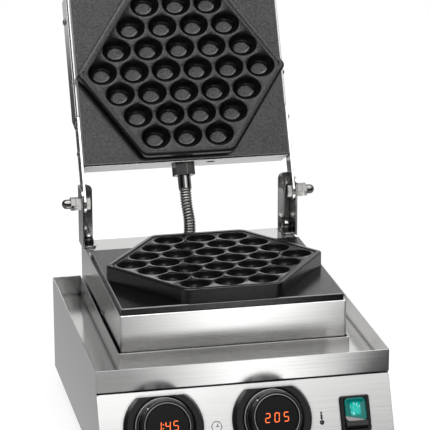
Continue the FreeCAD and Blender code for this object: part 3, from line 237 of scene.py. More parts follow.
# Floor, by its own places in metres, read in the same way
FLOOR_HALF = 6.0
FLOOR_COLOUR = (0.9, 0.9, 0.9)
FLOOR_ROUGHNESS = 0.9
FLOOR_SPECULAR = 0.1
FLOOR_SEEN_SHARE = 0.75
POOL_MIDDLE = (-0.9, -0.5, 0.24, 0.07)
POOL_WIDTH = (-0.75, -0.5, 1, 0.7)
POOL_SPREAD = (0.03, 0.2, 1.55, 0.42)
POOL_NEAR = (-0.7, -0.55, 1.45, 0.9)
POOL_FAR = (-1.5, -0.9, 0.12, 1)
POOL_EDGE_SLOPE = 0.5
POOL_EDGE = (-0.045, -0.02, 1, 0.05)
BEHIND_FADE = (0.5, 0.9, 0.65, 0.12)
BEHIND_FAR = (1.5, 1.9, 0, 0.75)
BEHIND_TO_LEFT = (-0.2, 0.05, 0.57, 1)
POOL_TO_BEHIND = (-0.3, 0.0, 0, 1)

# Lamps in metres and watts: place, size and power
LAMP_TARGET = (0, 0, 0.2)
LAMPS = {
    "key": ((-0.9, -1.1, 2.9), (2.2, 2.2), 48),
    "top": ((0.2, -0.1, 2.9), (2.4, 1.6), 26),
    "fill": ((1.4, -1.0, 2.7), (1.6, 1.6), 14),
}


# Meshes

def finish_mesh(name, mesh_data, matrix, body, material, smooth_angle=32):
    """Object from a bmesh drawn in millimetres, set in place, shaded and riding on a body."""
    bmesh.ops.remove_doubles(mesh_data, verts=mesh_data.verts, dist=WELD_DISTANCE)
    bmesh.ops.recalc_face_normals(mesh_data, faces=mesh_data.faces)
    mesh = bpy.data.meshes.new(name)
    mesh_data.to_mesh(mesh)
    mesh_data.free()
    mesh.transform(Matrix.Diagonal((MM, MM, MM, 1)) @ matrix)
    mesh.shade_smooth()
    mesh.set_sharp_from_angle(angle=math.radians(smooth_angle))
    mesh.materials.append(material)
    piece = bpy.data.objects.new(name, mesh)
    bpy.context.scene.collection.objects.link(piece)
    if body:
        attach(piece, body)
    return piece


def add_loft(mesh_data, rings, second=()):
    """Skin through rings of equal count, in order; some bands can take the second material."""
    rows = [[mesh_data.verts.new(point) for point in ring] for ring in rings]
    count = len(rows[0])
    for band, (low, high) in enumerate(zip(rows, rows[1:])):
        for step in range(count):
            after = (step + 1) % count
            face = mesh_data.faces.new((low[step], low[after], high[after], high[step]))
            face.material_index = 1 if band in second else 0


def add_cap(mesh_data, ring):
    mesh_data.faces.new([mesh_data.verts.new(point) for point in ring])


def turns_round(count):
    return [2 * math.pi * step / count for step in range(count)]


def circle(radius, height, count, middle=(0, 0)):
    return [
        (middle[0] + radius * math.cos(turn), middle[1] + radius * math.sin(turn), height)
        for turn in turns_round(count)
    ]


def inside(point, outline):
    """Whether a point of the plane lies within a closed outline."""
    within = False
    x, y = point
    for (x1, y1), (x2, y2) in zip(outline, outline[1:] + outline[:1]):
        if (y1 > y) != (y2 > y) and x < (x2 - x1) * (y - y1) / (y2 - y1) + x1:
            within = not within
    return within


def add_sheet(mesh_data, outer, holes, height):
    """Flat sheet between a convex outline and the holes in it."""
    points, edges = [], []
    for outline in [outer] + holes:
        start = len(points)
        points += [Vector(point) for point in outline]
        count = len(outline)
        edges += [(start + step, start + (step + 1) % count) for step in range(count)]
    places, _, faces, _, _, _ = delaunay_2d_cdt(points, edges, [], 0, PLANE_TOLERANCE)
    verts = [mesh_data.verts.new((place.x, place.y, height)) for place in places]
    for face in faces:
        middle = sum((places[index] for index in face), Vector((0, 0))) / len(face)
        if not any(inside(middle, hole) for hole in holes):
            mesh_data.faces.new([verts[index] for index in face])


# The castings

def rounded_outline(corners, radii, arc_steps):
    """Convex outline with each corner rounded, always with the same number of points."""
    points = []
    for step, corner in enumerate(corners):
        corner = Vector(corner)
        before = (Vector(corners[step - 1]) - corner).normalized()
        after = (Vector(corners[(step + 1) % len(corners)]) - corner).normalized()
        half = before.angle(after) / 2
        bisector = (before + after).normalized()
        radius = radii[step]
        centre = corner + bisector * (radius / math.sin(half))
        start = corner + before * (radius / math.tan(half)) - centre
        sweep = start.angle_signed(corner + after * (radius / math.tan(half)) - centre)
        for part in range(arc_steps + 1):
            turn = -sweep * part / arc_steps
            points.append(centre + Matrix.Rotation(turn, 2) @ start)
    return [(point.x, point.y) for point in points]


def hexagon(inset, arc_steps=8):
    """The pan's long hexagon, drawn in by an inset, its corners rounded to suit."""
    slant = math.hypot(HEX_VERTEX - HEX_CORNER, HEX_HALF_DEPTH)
    vertex = HEX_VERTEX - inset * slant / HEX_HALF_DEPTH
    side = HEX_HALF_DEPTH - inset
    corner = vertex - (HEX_VERTEX - HEX_CORNER) * side / HEX_HALF_DEPTH
    corners = [(vertex, 0), (corner, side), (-corner, side), (-vertex, 0), (-corner, -side),
               (corner, -side)]
    vertex_round = VERTEX_ROUND + max(inset, 0) * VERTEX_ROUND_GAIN
    corner_round = CORNER_ROUND - max(inset, 0) * CORNER_ROUND_LOSS
    radii = [vertex_round, corner_round, corner_round] * 2
    return rounded_outline(corners, radii, arc_steps)


def rounded_rectangle(half, low, high, radius, arc_steps):
    corners = [(half, low), (half, high), (-half, high), (-half, low)]
    return rounded_outline(corners, [radius] * len(corners), arc_steps)


def plate_outline(plate, inset, arc_steps=4):
    low, high = plate["front"] + inset, plate["rear"] - inset
    radius = max(PLATE_CORNER - inset, PLATE_CORNER_LEAST)
    return rounded_rectangle(plate["half_width"] - inset, low, high, radius, arc_steps)


def at_height(outline, height):
    return [(x, y, height) for x, y in outline]


def cell_middles():
    first = -(len(CELLS_IN_ROWS) - 1) / 2
    for row, count in enumerate(CELLS_IN_ROWS):
        for column in range(count):
            yield (column - (count - 1) / 2) * CELL_PITCH, (first + row) * ROW_SPACING


def oval(middle, share):
    """Outline at some share of a cell's size."""
    return [
        (
            middle[0] + CELL_HALF_LENGTH * share * math.cos(turn),
            middle[1] + CELL_HALF_WIDTH * share * math.sin(turn),
        )
        for turn in turns_round(CELL_POINTS)
    ]


def casting(name, plate, matrix, body, materials):
    """Plate, raised hexagon with its rim, and the thirty cells, with every edge softened."""
    mesh_data = bmesh.new()
    plate_top = -BLOCK_HEIGHT
    under = plate_top - plate["thickness"]
    plate_rings = [(0, under), (0, plate_top - PLATE_ARRIS), (PLATE_ARRIS, plate_top)]
    plate_skin = [at_height(plate_outline(plate, inset), z) for inset, z in plate_rings]
    # The arris band takes a pale material: a painted highlight along the plate's top edge
    add_loft(mesh_data, plate_skin, second=(1,))
    add_cap(mesh_data, at_height(plate_outline(plate, 0), under))
    side_rings = [(inset, plate_top + rise) for inset, rise in PAN_FOOT]
    side_rings += [(inset, RIM_HEIGHT + rise) for inset, rise in PAN_EDGE]
    side_rings += PAN_GROOVE
    add_loft(mesh_data, [at_height(hexagon(inset), z) for inset, z in side_rings])
    foot = hexagon(side_rings[0][0])
    widest = plate["half_width"] - PAN_FOOT_MARGIN
    foremost = plate["front"] + PAN_FOOT_MARGIN
    clipped = [(min(max(x, -widest), widest), max(y, foremost)) for x, y in foot]
    add_sheet(mesh_data, plate_outline(plate, PLATE_ARRIS), [clipped], plate_top)
    mouths = [oval(middle, CELL_PROFILE[0][0]) for middle in cell_middles()]
    add_sheet(mesh_data, hexagon(side_rings[-1][0]), mouths, 0)
    for middle in cell_middles():
        rings = [
            at_height(oval(middle, share), -CELL_DEPTH * depth) for share, depth in CELL_PROFILE
        ]
        add_loft(mesh_data, rings)
        add_cap(mesh_data, rings[-1])
    made = finish_mesh(name, mesh_data, matrix, body, materials["iron"])
    made.data.materials.append(materials["painted_highlight"])
    return made


# Places

def pan_place():
    return Matrix.Translation((0, PAN_Y, PAN_Z))


def joint_named(name):
    return next(joint for joint in frame["joints"] if joint["name"] == name)


def lid_place():
    """From the closed lid, drawn over the lower pan, to the open lid of the photograph."""
    joint = joint_named("lid_hinge")
    axis = Matrix.Translation(Vector(joint["pos_m"]) / MM)
    swing = Matrix.Rotation(-math.radians(joint["range_deg"][1]), 4, "X")
    return axis @ swing @ axis.inverted() @ pan_place()


def turned_over():
    """From the lower casting to the upper one, face down over the meeting plane."""
    level = Matrix.Translation((0, 0, MEETING_PLANE))
    return level @ Matrix.Rotation(math.pi, 4, "Y") @ level.inverted()


def dial_place(joint_name):
    """The panel's own axes, across, up its slope and outwards, from the middle of a dial."""
    joint = joint_named(joint_name)
    outwards = Vector(joint["axis"])
    across = Vector((1, 0, 0))
    turn = Matrix((across, outwards.cross(across), outwards)).transposed().to_4x4()
    return Matrix.Translation(Vector(joint["pos_m"]) / MM) @ turn


# Materials

def material(name, metallic, roughness, colour, specular=0.5):
    made = bpy.data.materials.new(name)
    made.use_nodes = True
    shader = made.node_tree.nodes["Principled BSDF"]
    shader.inputs["Metallic"].default_value = metallic
    shader.inputs["Roughness"].default_value = roughness
    shader.inputs["Base Color"].default_value = (*colour, 1)
    shader.inputs["Specular IOR Level"].default_value = specular
    return made


def add_node(tree, kind, **values):
    node = tree.nodes.new(kind)
    for name, value in values.items():
        setattr(node, name, value)
    return node


def feed(tree, socket, value):
    """Links a socket into another, or sets its number or colour."""
    if isinstance(value, bpy.types.NodeSocket):
        tree.links.new(value, socket)
    else:
        socket.default_value = value


def ramp(tree, source, low, high, first, last):
    """Map Range node from one span of values to another."""
    node = add_node(tree, "ShaderNodeMapRange")
    for name, value in zip(("From Min", "From Max", "To Min", "To Max"), (low, high, first, last)):
        node.inputs[name].default_value = value
    tree.links.new(source, node.inputs["Value"])
    return node.outputs["Result"]


def arithmetic(tree, operation, first, second=0):
    """Math node on sockets or numbers."""
    node = add_node(tree, "ShaderNodeMath", operation=operation)
    for socket, value in zip(node.inputs, (first, second)):
        feed(tree, socket, value)
    return node.outputs[0]


def blended(tree, share, first, second, kind="FLOAT"):
    """Number or colour that goes from the first to the second as the share goes from 0 to 1."""
    node = add_node(tree, "ShaderNodeMix", data_type=kind)
    feed(tree, node.inputs["Factor"], share)
    feed(tree, node.inputs["A"], first)
    feed(tree, node.inputs["B"], second)
    return node.outputs["Result"]


def tinted(tree, share, colour, factors):
    """The colour times the first factor, going over to the colour times the second."""
    first, second = ([min(value * factor, 1) for value in colour] for factor in factors)
    return blended(tree, share, (*first, 1), (*second, 1), "RGBA")


def about(value, span):
    """A span laid round a value."""
    return value + span[0], value + span[1]


def noise(tree, vector, scale, detail, rough=0.6):
    node = add_node(tree, "ShaderNodeTexNoise")
    values = {"Scale": scale, "Detail": detail, "Roughness": rough, "Vector": vector}
    for name, value in values.items():
        feed(tree, node.inputs[name], value)
    return node.outputs["Fac"]


def stretched(tree, factors):
    """Object coordinates, stretched so that a noise draws streaks."""
    place = add_node(tree, "ShaderNodeTexCoord")
    mapping = add_node(tree, "ShaderNodeMapping")
    mapping.inputs["Scale"].default_value = factors
    tree.links.new(place.outputs["Object"], mapping.inputs["Vector"])
    return mapping.outputs["Vector"]


def add_bump(tree, height, strength, distance, edge=0.0):
    """Bump from a height, over an edge that is rounded in the shading."""
    bump = add_node(tree, "ShaderNodeBump")
    for name, value in (("Strength", strength), ("Distance", distance), ("Height", height)):
        feed(tree, bump.inputs[name], value)
    if edge:
        bevel = add_node(tree, "ShaderNodeBevel", samples=BEVEL_SAMPLES)
        bevel.inputs["Radius"].default_value = edge
        tree.links.new(bevel.outputs["Normal"], bump.inputs["Normal"])
    tree.links.new(bump.outputs["Normal"], tree.nodes["Principled BSDF"].inputs["Normal"])


def split_axes(tree, output):
    place = add_node(tree, "ShaderNodeTexCoord")
    split = add_node(tree, "ShaderNodeSeparateXYZ")
    tree.links.new(place.outputs[output], split.inputs["Vector"])
    return [split.outputs[axis] for axis in "XYZ"]


def brushed_steel(name, colour, roughness, grain=SHEET_GRAIN, shade_reach=CORNER_SHADE_REACH, painted_side_shade=0):
    """Stainless sheet with a fine brushed grain, faint smears and painted shade in its corners and gaps.

    Sides that face across can be darkened with painted shade as well.
    """
    made = material(name, 1.0, roughness, colour)
    tree = made.node_tree
    shader = tree.nodes["Principled BSDF"]
    across, _, upright = split_axes(tree, "Normal")
    facing = arithmetic(tree, "ABSOLUTE", upright)
    on_walls = noise(tree, stretched(tree, grain), 1.0, STREAK_DETAIL)
    on_tops = noise(tree, stretched(tree, (grain[0], grain[2], grain[1])), 1.0, STREAK_DETAIL)
    streaks = blended(tree, facing, on_walls, on_tops)
    smears = noise(tree, stretched(tree, SMEAR_SCALE), 1.0, SMEAR_DETAIL)
    uneven = arithmetic(
        tree, "ADD", ramp(tree, streaks, *NOISE_SPAN, *about(roughness, STREAK_ROUGHNESS)),
        ramp(tree, smears, *SMEAR_SPAN, *SMEAR_ROUGHNESS))
    feed(tree, shader.inputs["Roughness"], uneven)
    tint = tinted(tree, ramp(tree, streaks, *NOISE_SPAN, 0, 1), colour, STREAK_TINT)
    # Painted shade: occlusion darkens the colour in corners and gaps, and sides that face across darken too
    corners = add_node(tree, "ShaderNodeAmbientOcclusion", samples=CORNER_SHADE_SAMPLES)
    corners.inputs["Distance"].default_value = shade_reach
    sideways = arithmetic(tree, "ABSOLUTE", across)
    painted_shade_share = arithmetic(tree, "MAXIMUM", ramp(tree, corners.outputs["AO"], *CORNER_SHADE_SPAN, 1, 0),
                      ramp(tree, sideways, *NOISE_SPAN, 0, painted_side_shade))
    shade_painted_colour = blended(tree, painted_shade_share, tint, (*PAINTED_SHADE_COLOUR, 1), "RGBA")
    feed(tree, shader.inputs["Base Color"], shade_painted_colour)
    brushed_way = add_node(tree, "ShaderNodeCombineXYZ")
    feed(tree, brushed_way.inputs["Y"], facing)
    brushed_way.inputs["Z"].default_value = 1
    feed(tree, shader.inputs["Tangent"], brushed_way.outputs["Vector"])
    shader.inputs["Anisotropic"].default_value = BRUSHING
    add_bump(tree, streaks, **STREAK_BUMP)
    return made


def cast_iron(name, colour, roughness):
    """Dark casting with a fine sandy grain and slightly paler worn patches."""
    made = material(name, 0.0, roughness, colour)
    tree = made.node_tree
    shader = tree.nodes["Principled BSDF"]
    place = stretched(tree, EVEN)
    grain = noise(tree, place, **IRON_GRAIN)
    patches = noise(tree, place, **IRON_PATCHES)
    share = arithmetic(tree, "ADD", arithmetic(tree, "MULTIPLY", patches, IRON_PATCH_SHARE),
                       ramp(tree, grain, *NOISE_SPAN, 0, IRON_GRAIN_SHARE))
    feed(tree, shader.inputs["Base Color"], tinted(tree, share, colour, IRON_TINT))
    feed(tree, shader.inputs["Roughness"],
         ramp(tree, patches, *NOISE_SPAN, *about(roughness, IRON_ROUGHNESS)))
    feed(tree, shader.inputs["Specular IOR Level"],
         ramp(tree, grain, *IRON_GLEAM_SPAN, *IRON_GLEAM))
    add_bump(tree, grain, **IRON_BUMP)
    return made


def satin(name, colour, roughness, grain=0.08, edge=0.0004, specular=0.5):
    """Moulded plastic or rubber with a fine even texture."""
    made = material(name, 0.0, roughness, colour, specular)
    tree = made.node_tree
    place = stretched(tree, EVEN)
    texture = noise(tree, place, **SATIN_TEXTURE)
    smears = noise(tree, place, **SATIN_SMEARS)
    feed(tree, tree.nodes["Principled BSDF"].inputs["Roughness"],
         ramp(tree, smears, *NOISE_SPAN, *about(roughness, SATIN_ROUGHNESS)))
    add_bump(tree, texture, grain, SATIN_DEPTH, edge=edge)
    return made


def lamp(name, colour, strength):
    """Lit segment, a little uneven along its length."""
    made = material(name, 0.0, LAMP_ROUGHNESS, colour)
    tree = made.node_tree
    shader = tree.nodes["Principled BSDF"]
    shader.inputs["Emission Color"].default_value = (*colour, 1)
    uneven = noise(tree, stretched(tree, EVEN), **LAMP_FLICKER)
    dim, bright = (strength * share for share in LAMP_SPAN)
    feed(tree, shader.inputs["Emission Strength"], ramp(tree, uneven, *NOISE_SPAN, dim, bright))
    return made


def lit_window(name, colour, roughness, specular):
    """Tinted window with a lamp behind it, a few bright glints and a lower facet painted paler as a reflection."""
    made = material(name, 0.0, roughness, colour, specular)
    tree = made.node_tree
    shader = tree.nodes["Principled BSDF"]
    place = add_node(tree, "ShaderNodeAttribute", attribute_name="from_spindle")
    split = add_node(tree, "ShaderNodeSeparateXYZ")
    feed(tree, split.inputs["Vector"], place.outputs["Vector"])
    share = 1.0
    for axis, centre, half in zip("XY", GLOW["middle"], GLOW["reach"]):
        offset = arithmetic(tree, "SUBTRACT", split.outputs[axis], centre)
        aside = arithmetic(tree, "ABSOLUTE", offset)
        start, end = (half * part for part in GLOW["fade"])
        share = arithmetic(tree, "MULTIPLY", ramp(tree, aside, start, end, 1, 0), share)
    drawn_out = add_node(tree, "ShaderNodeVectorMath", operation="MULTIPLY")
    drawn_out.inputs[1].default_value = GLINT["stretch"]
    feed(tree, drawn_out.inputs[0], place.outputs["Vector"])
    ripple = noise(tree, drawn_out.outputs["Vector"], GLINT["scale"], GLINT["detail"])
    glint = arithmetic(tree, "MULTIPLY", ramp(tree, ripple, *GLINT["span"], 0, 1), share)
    lit = blended(tree, glint, (*GLOW["colour"], 1), (*GLINT["colour"], 1), "RGBA")
    feed(tree, shader.inputs["Emission Color"], lit)
    # Painted reflection: below a slanting line the colour turns pale grey
    lean = arithmetic(tree, "MULTIPLY", split.outputs["X"], FACET_REFLECTION["slope"])
    level = arithmetic(tree, "ADD", split.outputs["Y"], lean)
    above = ramp(tree, level, FACET_REFLECTION["top"] - FACET_REFLECTION["softness"], FACET_REFLECTION["top"], 1, 0)
    facet_reflection = blended(tree, above, (*colour, 1), (*FACET_REFLECTION["colour"], 1), "RGBA")
    feed(tree, shader.inputs["Base Color"], facet_reflection)
    power = arithmetic(tree, "ADD", arithmetic(tree, "MULTIPLY", share, GLOW["power"]),
                       arithmetic(tree, "MULTIPLY", glint, GLINT["power"]))
    feed(tree, shader.inputs["Emission Strength"], power)
    return made


def make_materials():
    return {
        "steel": brushed_steel("brushed_steel", STEEL, STEEL_ROUGHNESS),
        # Steel with more painted shade, in wider corners and on its sides
        "painted_side_shade": brushed_steel("shade_painted_steel", STEEL, STEEL_ROUGHNESS, **PAINTED_LID_SHADE),
        "bright": brushed_steel("bright_steel", (0.4, 0.395, 0.39), 0.09, FITTING_GRAIN),
        "plated": brushed_steel("plated_steel", (0.24, 0.237, 0.232), 0.12, FITTING_GRAIN),
        "hose": brushed_steel("hose_steel", (0.5, 0.495, 0.485), 0.14, FITTING_GRAIN),
        # Near-black rib roots of the hose: painted shade
        "groove_shade": satin("hose_groove_shade", (0.015, 0.015, 0.015), 0.6),
        "heater": brushed_steel("heater_steel", (0.35, 0.33, 0.31), 0.45),
        "iron": cast_iron("cast_iron", (0.0035, 0.0035, 0.0036), 0.17),
        # Pale grey for the casting's arris: a painted highlight
        "painted_highlight": satin("painted_highlight_edge", (0.16, 0.16, 0.165), 0.4),
        "black": satin("black_plastic", (0.005, 0.005, 0.0055), 0.3, specular=0.3),
        "grip": satin("grip_plastic", (0.02, 0.02, 0.02), 0.45, grain=0.15),
        "rubber": satin("rubber", (0.02, 0.02, 0.02), 0.7, grain=0.2),
        "gloss": satin("gloss_plastic", (0.004, 0.004, 0.0045), 0.16, grain=0.02),
        # Paler grey bands of the dial rings: painted highlights
        "painted_ring_highlight": satin("painted_ring_highlight_band", (0.2, 0.2, 0.2), 0.25, grain=0.02),
        "digit": lamp("digit_light", (1.0, 0.16, 0.03), 0.45),
        "mark": satin("pale_mark", (0.75, 0.75, 0.73), 0.4),
        "ink": satin("printed_ink", (0.01, 0.01, 0.01), 0.6, specular=0.2),
        "window": satin("display_window", (0.003, 0.003, 0.0035), 0.12, grain=0.0, specular=0.15),
        "teal": lit_window("switch_window", (0.0, 0.1, 0.088), 0.07, specular=0.25),
        "fibre": satin("ceramic_fibre", (0.75, 0.73, 0.68), 0.9, grain=0.5),
        "board": satin("circuit_board", (0.02, 0.14, 0.05), 0.4),
        "ceramic": satin("glazed_ceramic", (0.8, 0.78, 0.72), 0.25),
    }


NODE_MATERIALS = {
    # The lid's case takes the steel with more painted shade
    "lid_case": "painted_side_shade",
    "pivot_bolts": "plated",
    "pivot_lock_nuts": "plated",
    "pivot_dome_nuts": "plated",
}
SLOT_MATERIALS = {
    "steel_sheet": "steel",
    "bright_steel": "bright",
    "hose_steel": "hose",
    "heater_steel": "heater",
    "cast_iron": "iron",
    "insulation": "fibre",
    "rubber": "rubber",
    "black_plastic": "black",
    "grip_plastic": "grip",
    "display_lens": "window",
    "switch_lens": "teal",
    "circuit_board": "board",
    "ceramic": "ceramic",
}


def dress_nodes(materials):
    """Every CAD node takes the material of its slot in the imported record, or one of its own."""
    for entry in frame["record"]["subparts"]:
        node = frame["nodes"][entry["node"]]
        node.data.materials.clear()
        chosen = NODE_MATERIALS.get(entry["node"], SLOT_MATERIALS[entry["material_slot"]])
        node.data.materials.append(materials[chosen])


# Castings and conduit in place of their CAD nodes

def make_castings(materials):
    lower = casting("lower_casting", LOWER_PLATE, pan_place(), "base", materials)
    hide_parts("lower_pan")
    upper = casting("upper_casting", UPPER_PLATE, lid_place() @ turned_over(), "lid", materials)
    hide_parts("upper_pan")


def hose_station(distance):
    """Place and heading on the conduit's line, so far from its top end.

    It is straight, then bends, and drifts aside along the bend with a soft start and end.
    """
    lean = math.radians(joint_named("lid_hinge")["range_deg"][1] - 90)
    bend = HOSE_BEND_RADIUS * lean
    share = min(max((distance - HOSE_STRAIGHT) / bend, 0), 1)
    turn = lean * (1 - share)
    run = min(distance, HOSE_STRAIGHT)
    place = Vector(HOSE_TOP)
    place.x += HOSE_DRIFT * share * share * (3 - 2 * share)
    place.y -= run * math.sin(lean) + HOSE_BEND_RADIUS * (math.cos(turn) - math.cos(lean))
    place.z -= run * math.cos(lean) + HOSE_BEND_RADIUS * (math.sin(lean) - math.sin(turn))
    place.z -= max(distance - HOSE_STRAIGHT - bend, 0)
    drifting = HOSE_DRIFT * 6 * share * (1 - share) / bend
    return place, Vector((drifting, -math.sin(turn), -math.cos(turn))).normalized()


def hose_ring(distance, radius):
    place, heading = hose_station(distance)
    side = heading.cross(Vector((1, 0, 0))).normalized()
    along = side.cross(heading)
    return [
        place + (along * math.cos(turn) + side * math.sin(turn)) * radius
        for turn in turns_round(HOSE_POINTS)
    ]


def make_conduit(materials):
    """Ribbed metal hose, bent along its line from the lid down to the deck."""
    pitch = HOSE_LENGTH / HOSE_RIBS
    rings = [
        hose_ring((rib + share) * pitch, radius)
        for rib in range(HOSE_RIBS) for share, radius in RIB_PROFILE
    ]
    rings.append(hose_ring(HOSE_LENGTH, RIB_PROFILE[0][1]))
    last = len(RIB_PROFILE) - 1
    # The rib roots take a near-black material: painted shade in the grooves
    shaded_grooves = [band for band in range(len(rings) - 1) if band % len(RIB_PROFILE) in (0, last)]
    mesh_data = bmesh.new()
    add_loft(mesh_data, rings, second=shaded_grooves)
    add_cap(mesh_data, rings[0])
    add_cap(mesh_data, rings[-1])
    hose = finish_mesh("ribbed_hose", mesh_data, Matrix.Identity(4), None, materials["hose"])
    hose.data.materials.append(materials["groove_shade"])
    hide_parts("conduit_hose")
    start, end = hose_station(0)[0] * MM, hose_station(HOSE_LENGTH)[0] * MM
    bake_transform(hose)


# Dials, displays and signs

def add_prism(mesh_data, outline, low, high):
    add_loft(mesh_data, [at_height(outline, low), at_height(outline, high)])
    add_cap(mesh_data, at_height(outline, low))
    add_cap(mesh_data, at_height(outline, high))


def slanted(outline, middle):
    return [(middle + x + y * DIGIT_SLANT, y) for x, y in outline]


def segment_outline(start, end):
    """Pointed bar between two corners of a digit."""
    start, end = Vector(start), Vector(end)
    along = (end - start).normalized()
    side = Vector((-along.y, along.x)) * SEGMENT_WIDTH / 2
    gap = along * SEGMENT_WIDTH * SEGMENT_GAP_SHARE
    inset = along * SEGMENT_WIDTH * SEGMENT_POINT_SHARE
    start, end = start + gap, end - gap
    return [start, start + inset - side, end - inset - side, end, end - inset + side,
            start + inset + side]


def segment_ends():
    x = (DIGIT_WIDTH - SEGMENT_WIDTH) / 2
    y = (DIGIT_HEIGHT - SEGMENT_WIDTH) / 2
    return {
        "a": ((-x, y), (x, y)), "b": ((x, 0), (x, y)), "c": ((x, -y), (x, 0)),
        "d": ((-x, -y), (x, -y)), "e": ((-x, -y), (-x, 0)), "f": ((-x, 0), (-x, y)),
        "g": ((-x, 0), (x, 0)),
    }


def make_display(joint_name, materials):
    """Lit segments of one display, and a colon on the timer's."""
    mesh_data = bmesh.new()
    low, high = DISPLAY_HEIGHT - DISPLAY_SINK, DISPLAY_HEIGHT + SEGMENT_THICKNESS
    ends = segment_ends()
    for digit, middle in DISPLAYS[joint_name]:
        for letter in DIGIT_SEGMENTS[digit]:
            outline = segment_outline(*ends[letter])
            add_prism(mesh_data, slanted(outline, middle), low, high)
    if joint_name == "timer_turn":
        for rise in COLON["rises"]:
            dot = [(x, rise + y) for x, y, _ in circle(COLON["radius"], 0, COLON["points"])]
            add_prism(mesh_data, slanted(dot, COLON["across"]), low, high)
    name = joint_name.split("_")[0] + "_digits"
    digits = finish_mesh(name, mesh_data, dial_place(joint_name), "base", materials["digit"])


def make_ring(name, joint_name, materials):
    """Turning ring with its soft shoulders, some edge bands painted paler as highlights, and a small pale mark on
    its top edge.
    """
    mesh_data = bmesh.new()
    skin = [circle(radius, height, RING_POINTS) for radius, height in RING_PROFILE]
    add_loft(mesh_data, skin, second=RING_HIGHLIGHT_BANDS)
    add_loft(mesh_data, [skin[-1], skin[0]])
    place = dial_place(joint_name)
    ring = finish_mesh(name + "_smooth", mesh_data, place, name, materials["gloss"])
    ring.data.materials.append(materials["painted_ring_highlight"])
    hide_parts(name.replace("_dial", "_ring"))
    turn = math.radians(DIAL_MARK["turn"])
    middle = (DIAL_MARK["radius"] * math.cos(turn), DIAL_MARK["radius"] * math.sin(turn))
    mark_data = bmesh.new()
    dome = [circle(radius, DIAL_MARK["height"] + rise, DIAL_MARK["points"], middle)
            for radius, rise in DIAL_MARK_DOME]
    add_loft(mark_data, dome)
    add_cap(mark_data, dome[-1])
    mark = finish_mesh(name + "_mark", mark_data, place, name, materials["mark"])


def rocker_place():
    """Panel axes at the rocker, tilted with it about its spindle."""
    turn = dial_place("timer_turn").to_3x3().to_4x4()
    pivot = Matrix.Translation(Vector(joint_named("switch_rock")["pos_m"]) / MM)
    tilt = Matrix.Rotation(-math.radians(ROCKER_TILT), 4, "X")
    return pivot @ turn @ tilt @ Matrix.Translation((0, 0, ROCKER_PIVOT_DEPTH))


def window_ring(inset, drop):
    """Outline of the window, drawn in and laid on the rocker's dished top."""
    low, high = WINDOW["low"] + inset, WINDOW["high"] - inset
    radius = max(WINDOW["corner"] - inset, WINDOW["corner_least"])
    outline = rounded_rectangle(WINDOW["half_width"] - inset, low, high, radius,
                                WINDOW["corner_steps"])
    ring = []
    for x, y in outline:
        dish = WINDOW["rise"] * math.hypot(y, WINDOW["dip"]) / ROCKER_REACH
        ring.append((x, y, WINDOW["crown"] + dish + drop))
    return ring


def make_switch_window(materials):
    """Pillowed window over the rocker's upper end, with its own places kept for the glow."""
    mesh_data = bmesh.new()
    rings = [window_ring(inset, drop) for inset, drop in WINDOW_SKIN]
    add_loft(mesh_data, rings)
    add_cap(mesh_data, rings[-1])
    add_cap(mesh_data, rings[0])
    window = finish_mesh("switch_window", mesh_data, rocker_place(), "rocker", materials["teal"])
    back = (Matrix.Diagonal((MM, MM, MM, 1)) @ rocker_place()).inverted()
    local = window.data.attributes.new("from_spindle", "FLOAT_VECTOR", "POINT")
    for vertex in window.data.vertices:
        local.data[vertex.index].vector = back @ vertex.co
    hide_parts("switch_lens")


def add_band(mesh_data, radii, middle, points):
    """Flat ring of a sign: its two walls and its top."""
    for radius in radii:
        add_loft(mesh_data, [circle(radius, z, points, middle) for z in (0, SIGN_THICKNESS)])
    add_loft(mesh_data, [circle(radius, SIGN_THICKNESS, points, middle) for radius in radii])


def make_clock(materials):
    """Clock sign: a ring with two hands."""
    mesh_data = bmesh.new()
    add_band(mesh_data, (CLOCK_RADIUS - SIGN_LINE, CLOCK_RADIUS), CLOCK_AT, CLOCK_POINTS)
    for reach, degrees in CLOCK_HANDS:
        turn = math.radians(degrees)
        along = Vector((math.cos(turn), math.sin(turn)))
        side = Vector((-along.y, along.x)) * SIGN_LINE / 2
        start = Vector(CLOCK_AT) - along * SIGN_LINE / 2
        end = Vector(CLOCK_AT) + along * reach
        outline = [start - side, end - side, end + side, start + side]
        add_prism(mesh_data, outline, 0, SIGN_THICKNESS)
    sign = finish_mesh("clock_sign", mesh_data, dial_place("timer_turn"), "base", materials["ink"])


def make_thermometer(materials):
    """Thermometer sign: a bulb with a small eye and three dots above it."""
    mesh_data = bmesh.new()
    add_band(mesh_data, THERMOMETER_BULB, THERMOMETER_AT, BULB_POINTS)
    for rise, radius in THERMOMETER_DOTS:
        middle = (THERMOMETER_AT[0], THERMOMETER_AT[1] + rise)
        dot = [(x, y) for x, y, _ in circle(radius, 0, DOT_POINTS, middle)]
        add_prism(mesh_data, dot, 0, SIGN_THICKNESS)
    sign = finish_mesh("thermometer_sign", mesh_data, dial_place("thermostat_turn"), "base",
                       materials["ink"])


# Stage

def make_camera():
    columns = [Vector(CAMERA_RIGHT), -Vector(CAMERA_DOWN), -Vector(CAMERA_AHEAD)]
    turn = Matrix(columns).transposed().to_4x4()
    camera_data = bpy.data.cameras.new("photo_camera")
    camera_data.sensor_width = SENSOR
    camera_data.lens = FOCAL_PIXELS / PHOTO_SIZE * SENSOR
    camera_data.shift_x = (PHOTO_SIZE / 2 - PHOTO_CENTRE[0]) / PHOTO_SIZE
    camera_data.shift_y = (PHOTO_CENTRE[1] - PHOTO_SIZE / 2) / PHOTO_SIZE
    camera_data.clip_end = CAMERA_CLIP_END
    camera = bpy.data.objects.new("photo_camera", camera_data)
    camera.matrix_world = Matrix.Translation(Vector(CAMERA_AT) * MM) @ turn
    bpy.context.scene.collection.objects.link(camera)
    bpy.context.scene.camera = camera


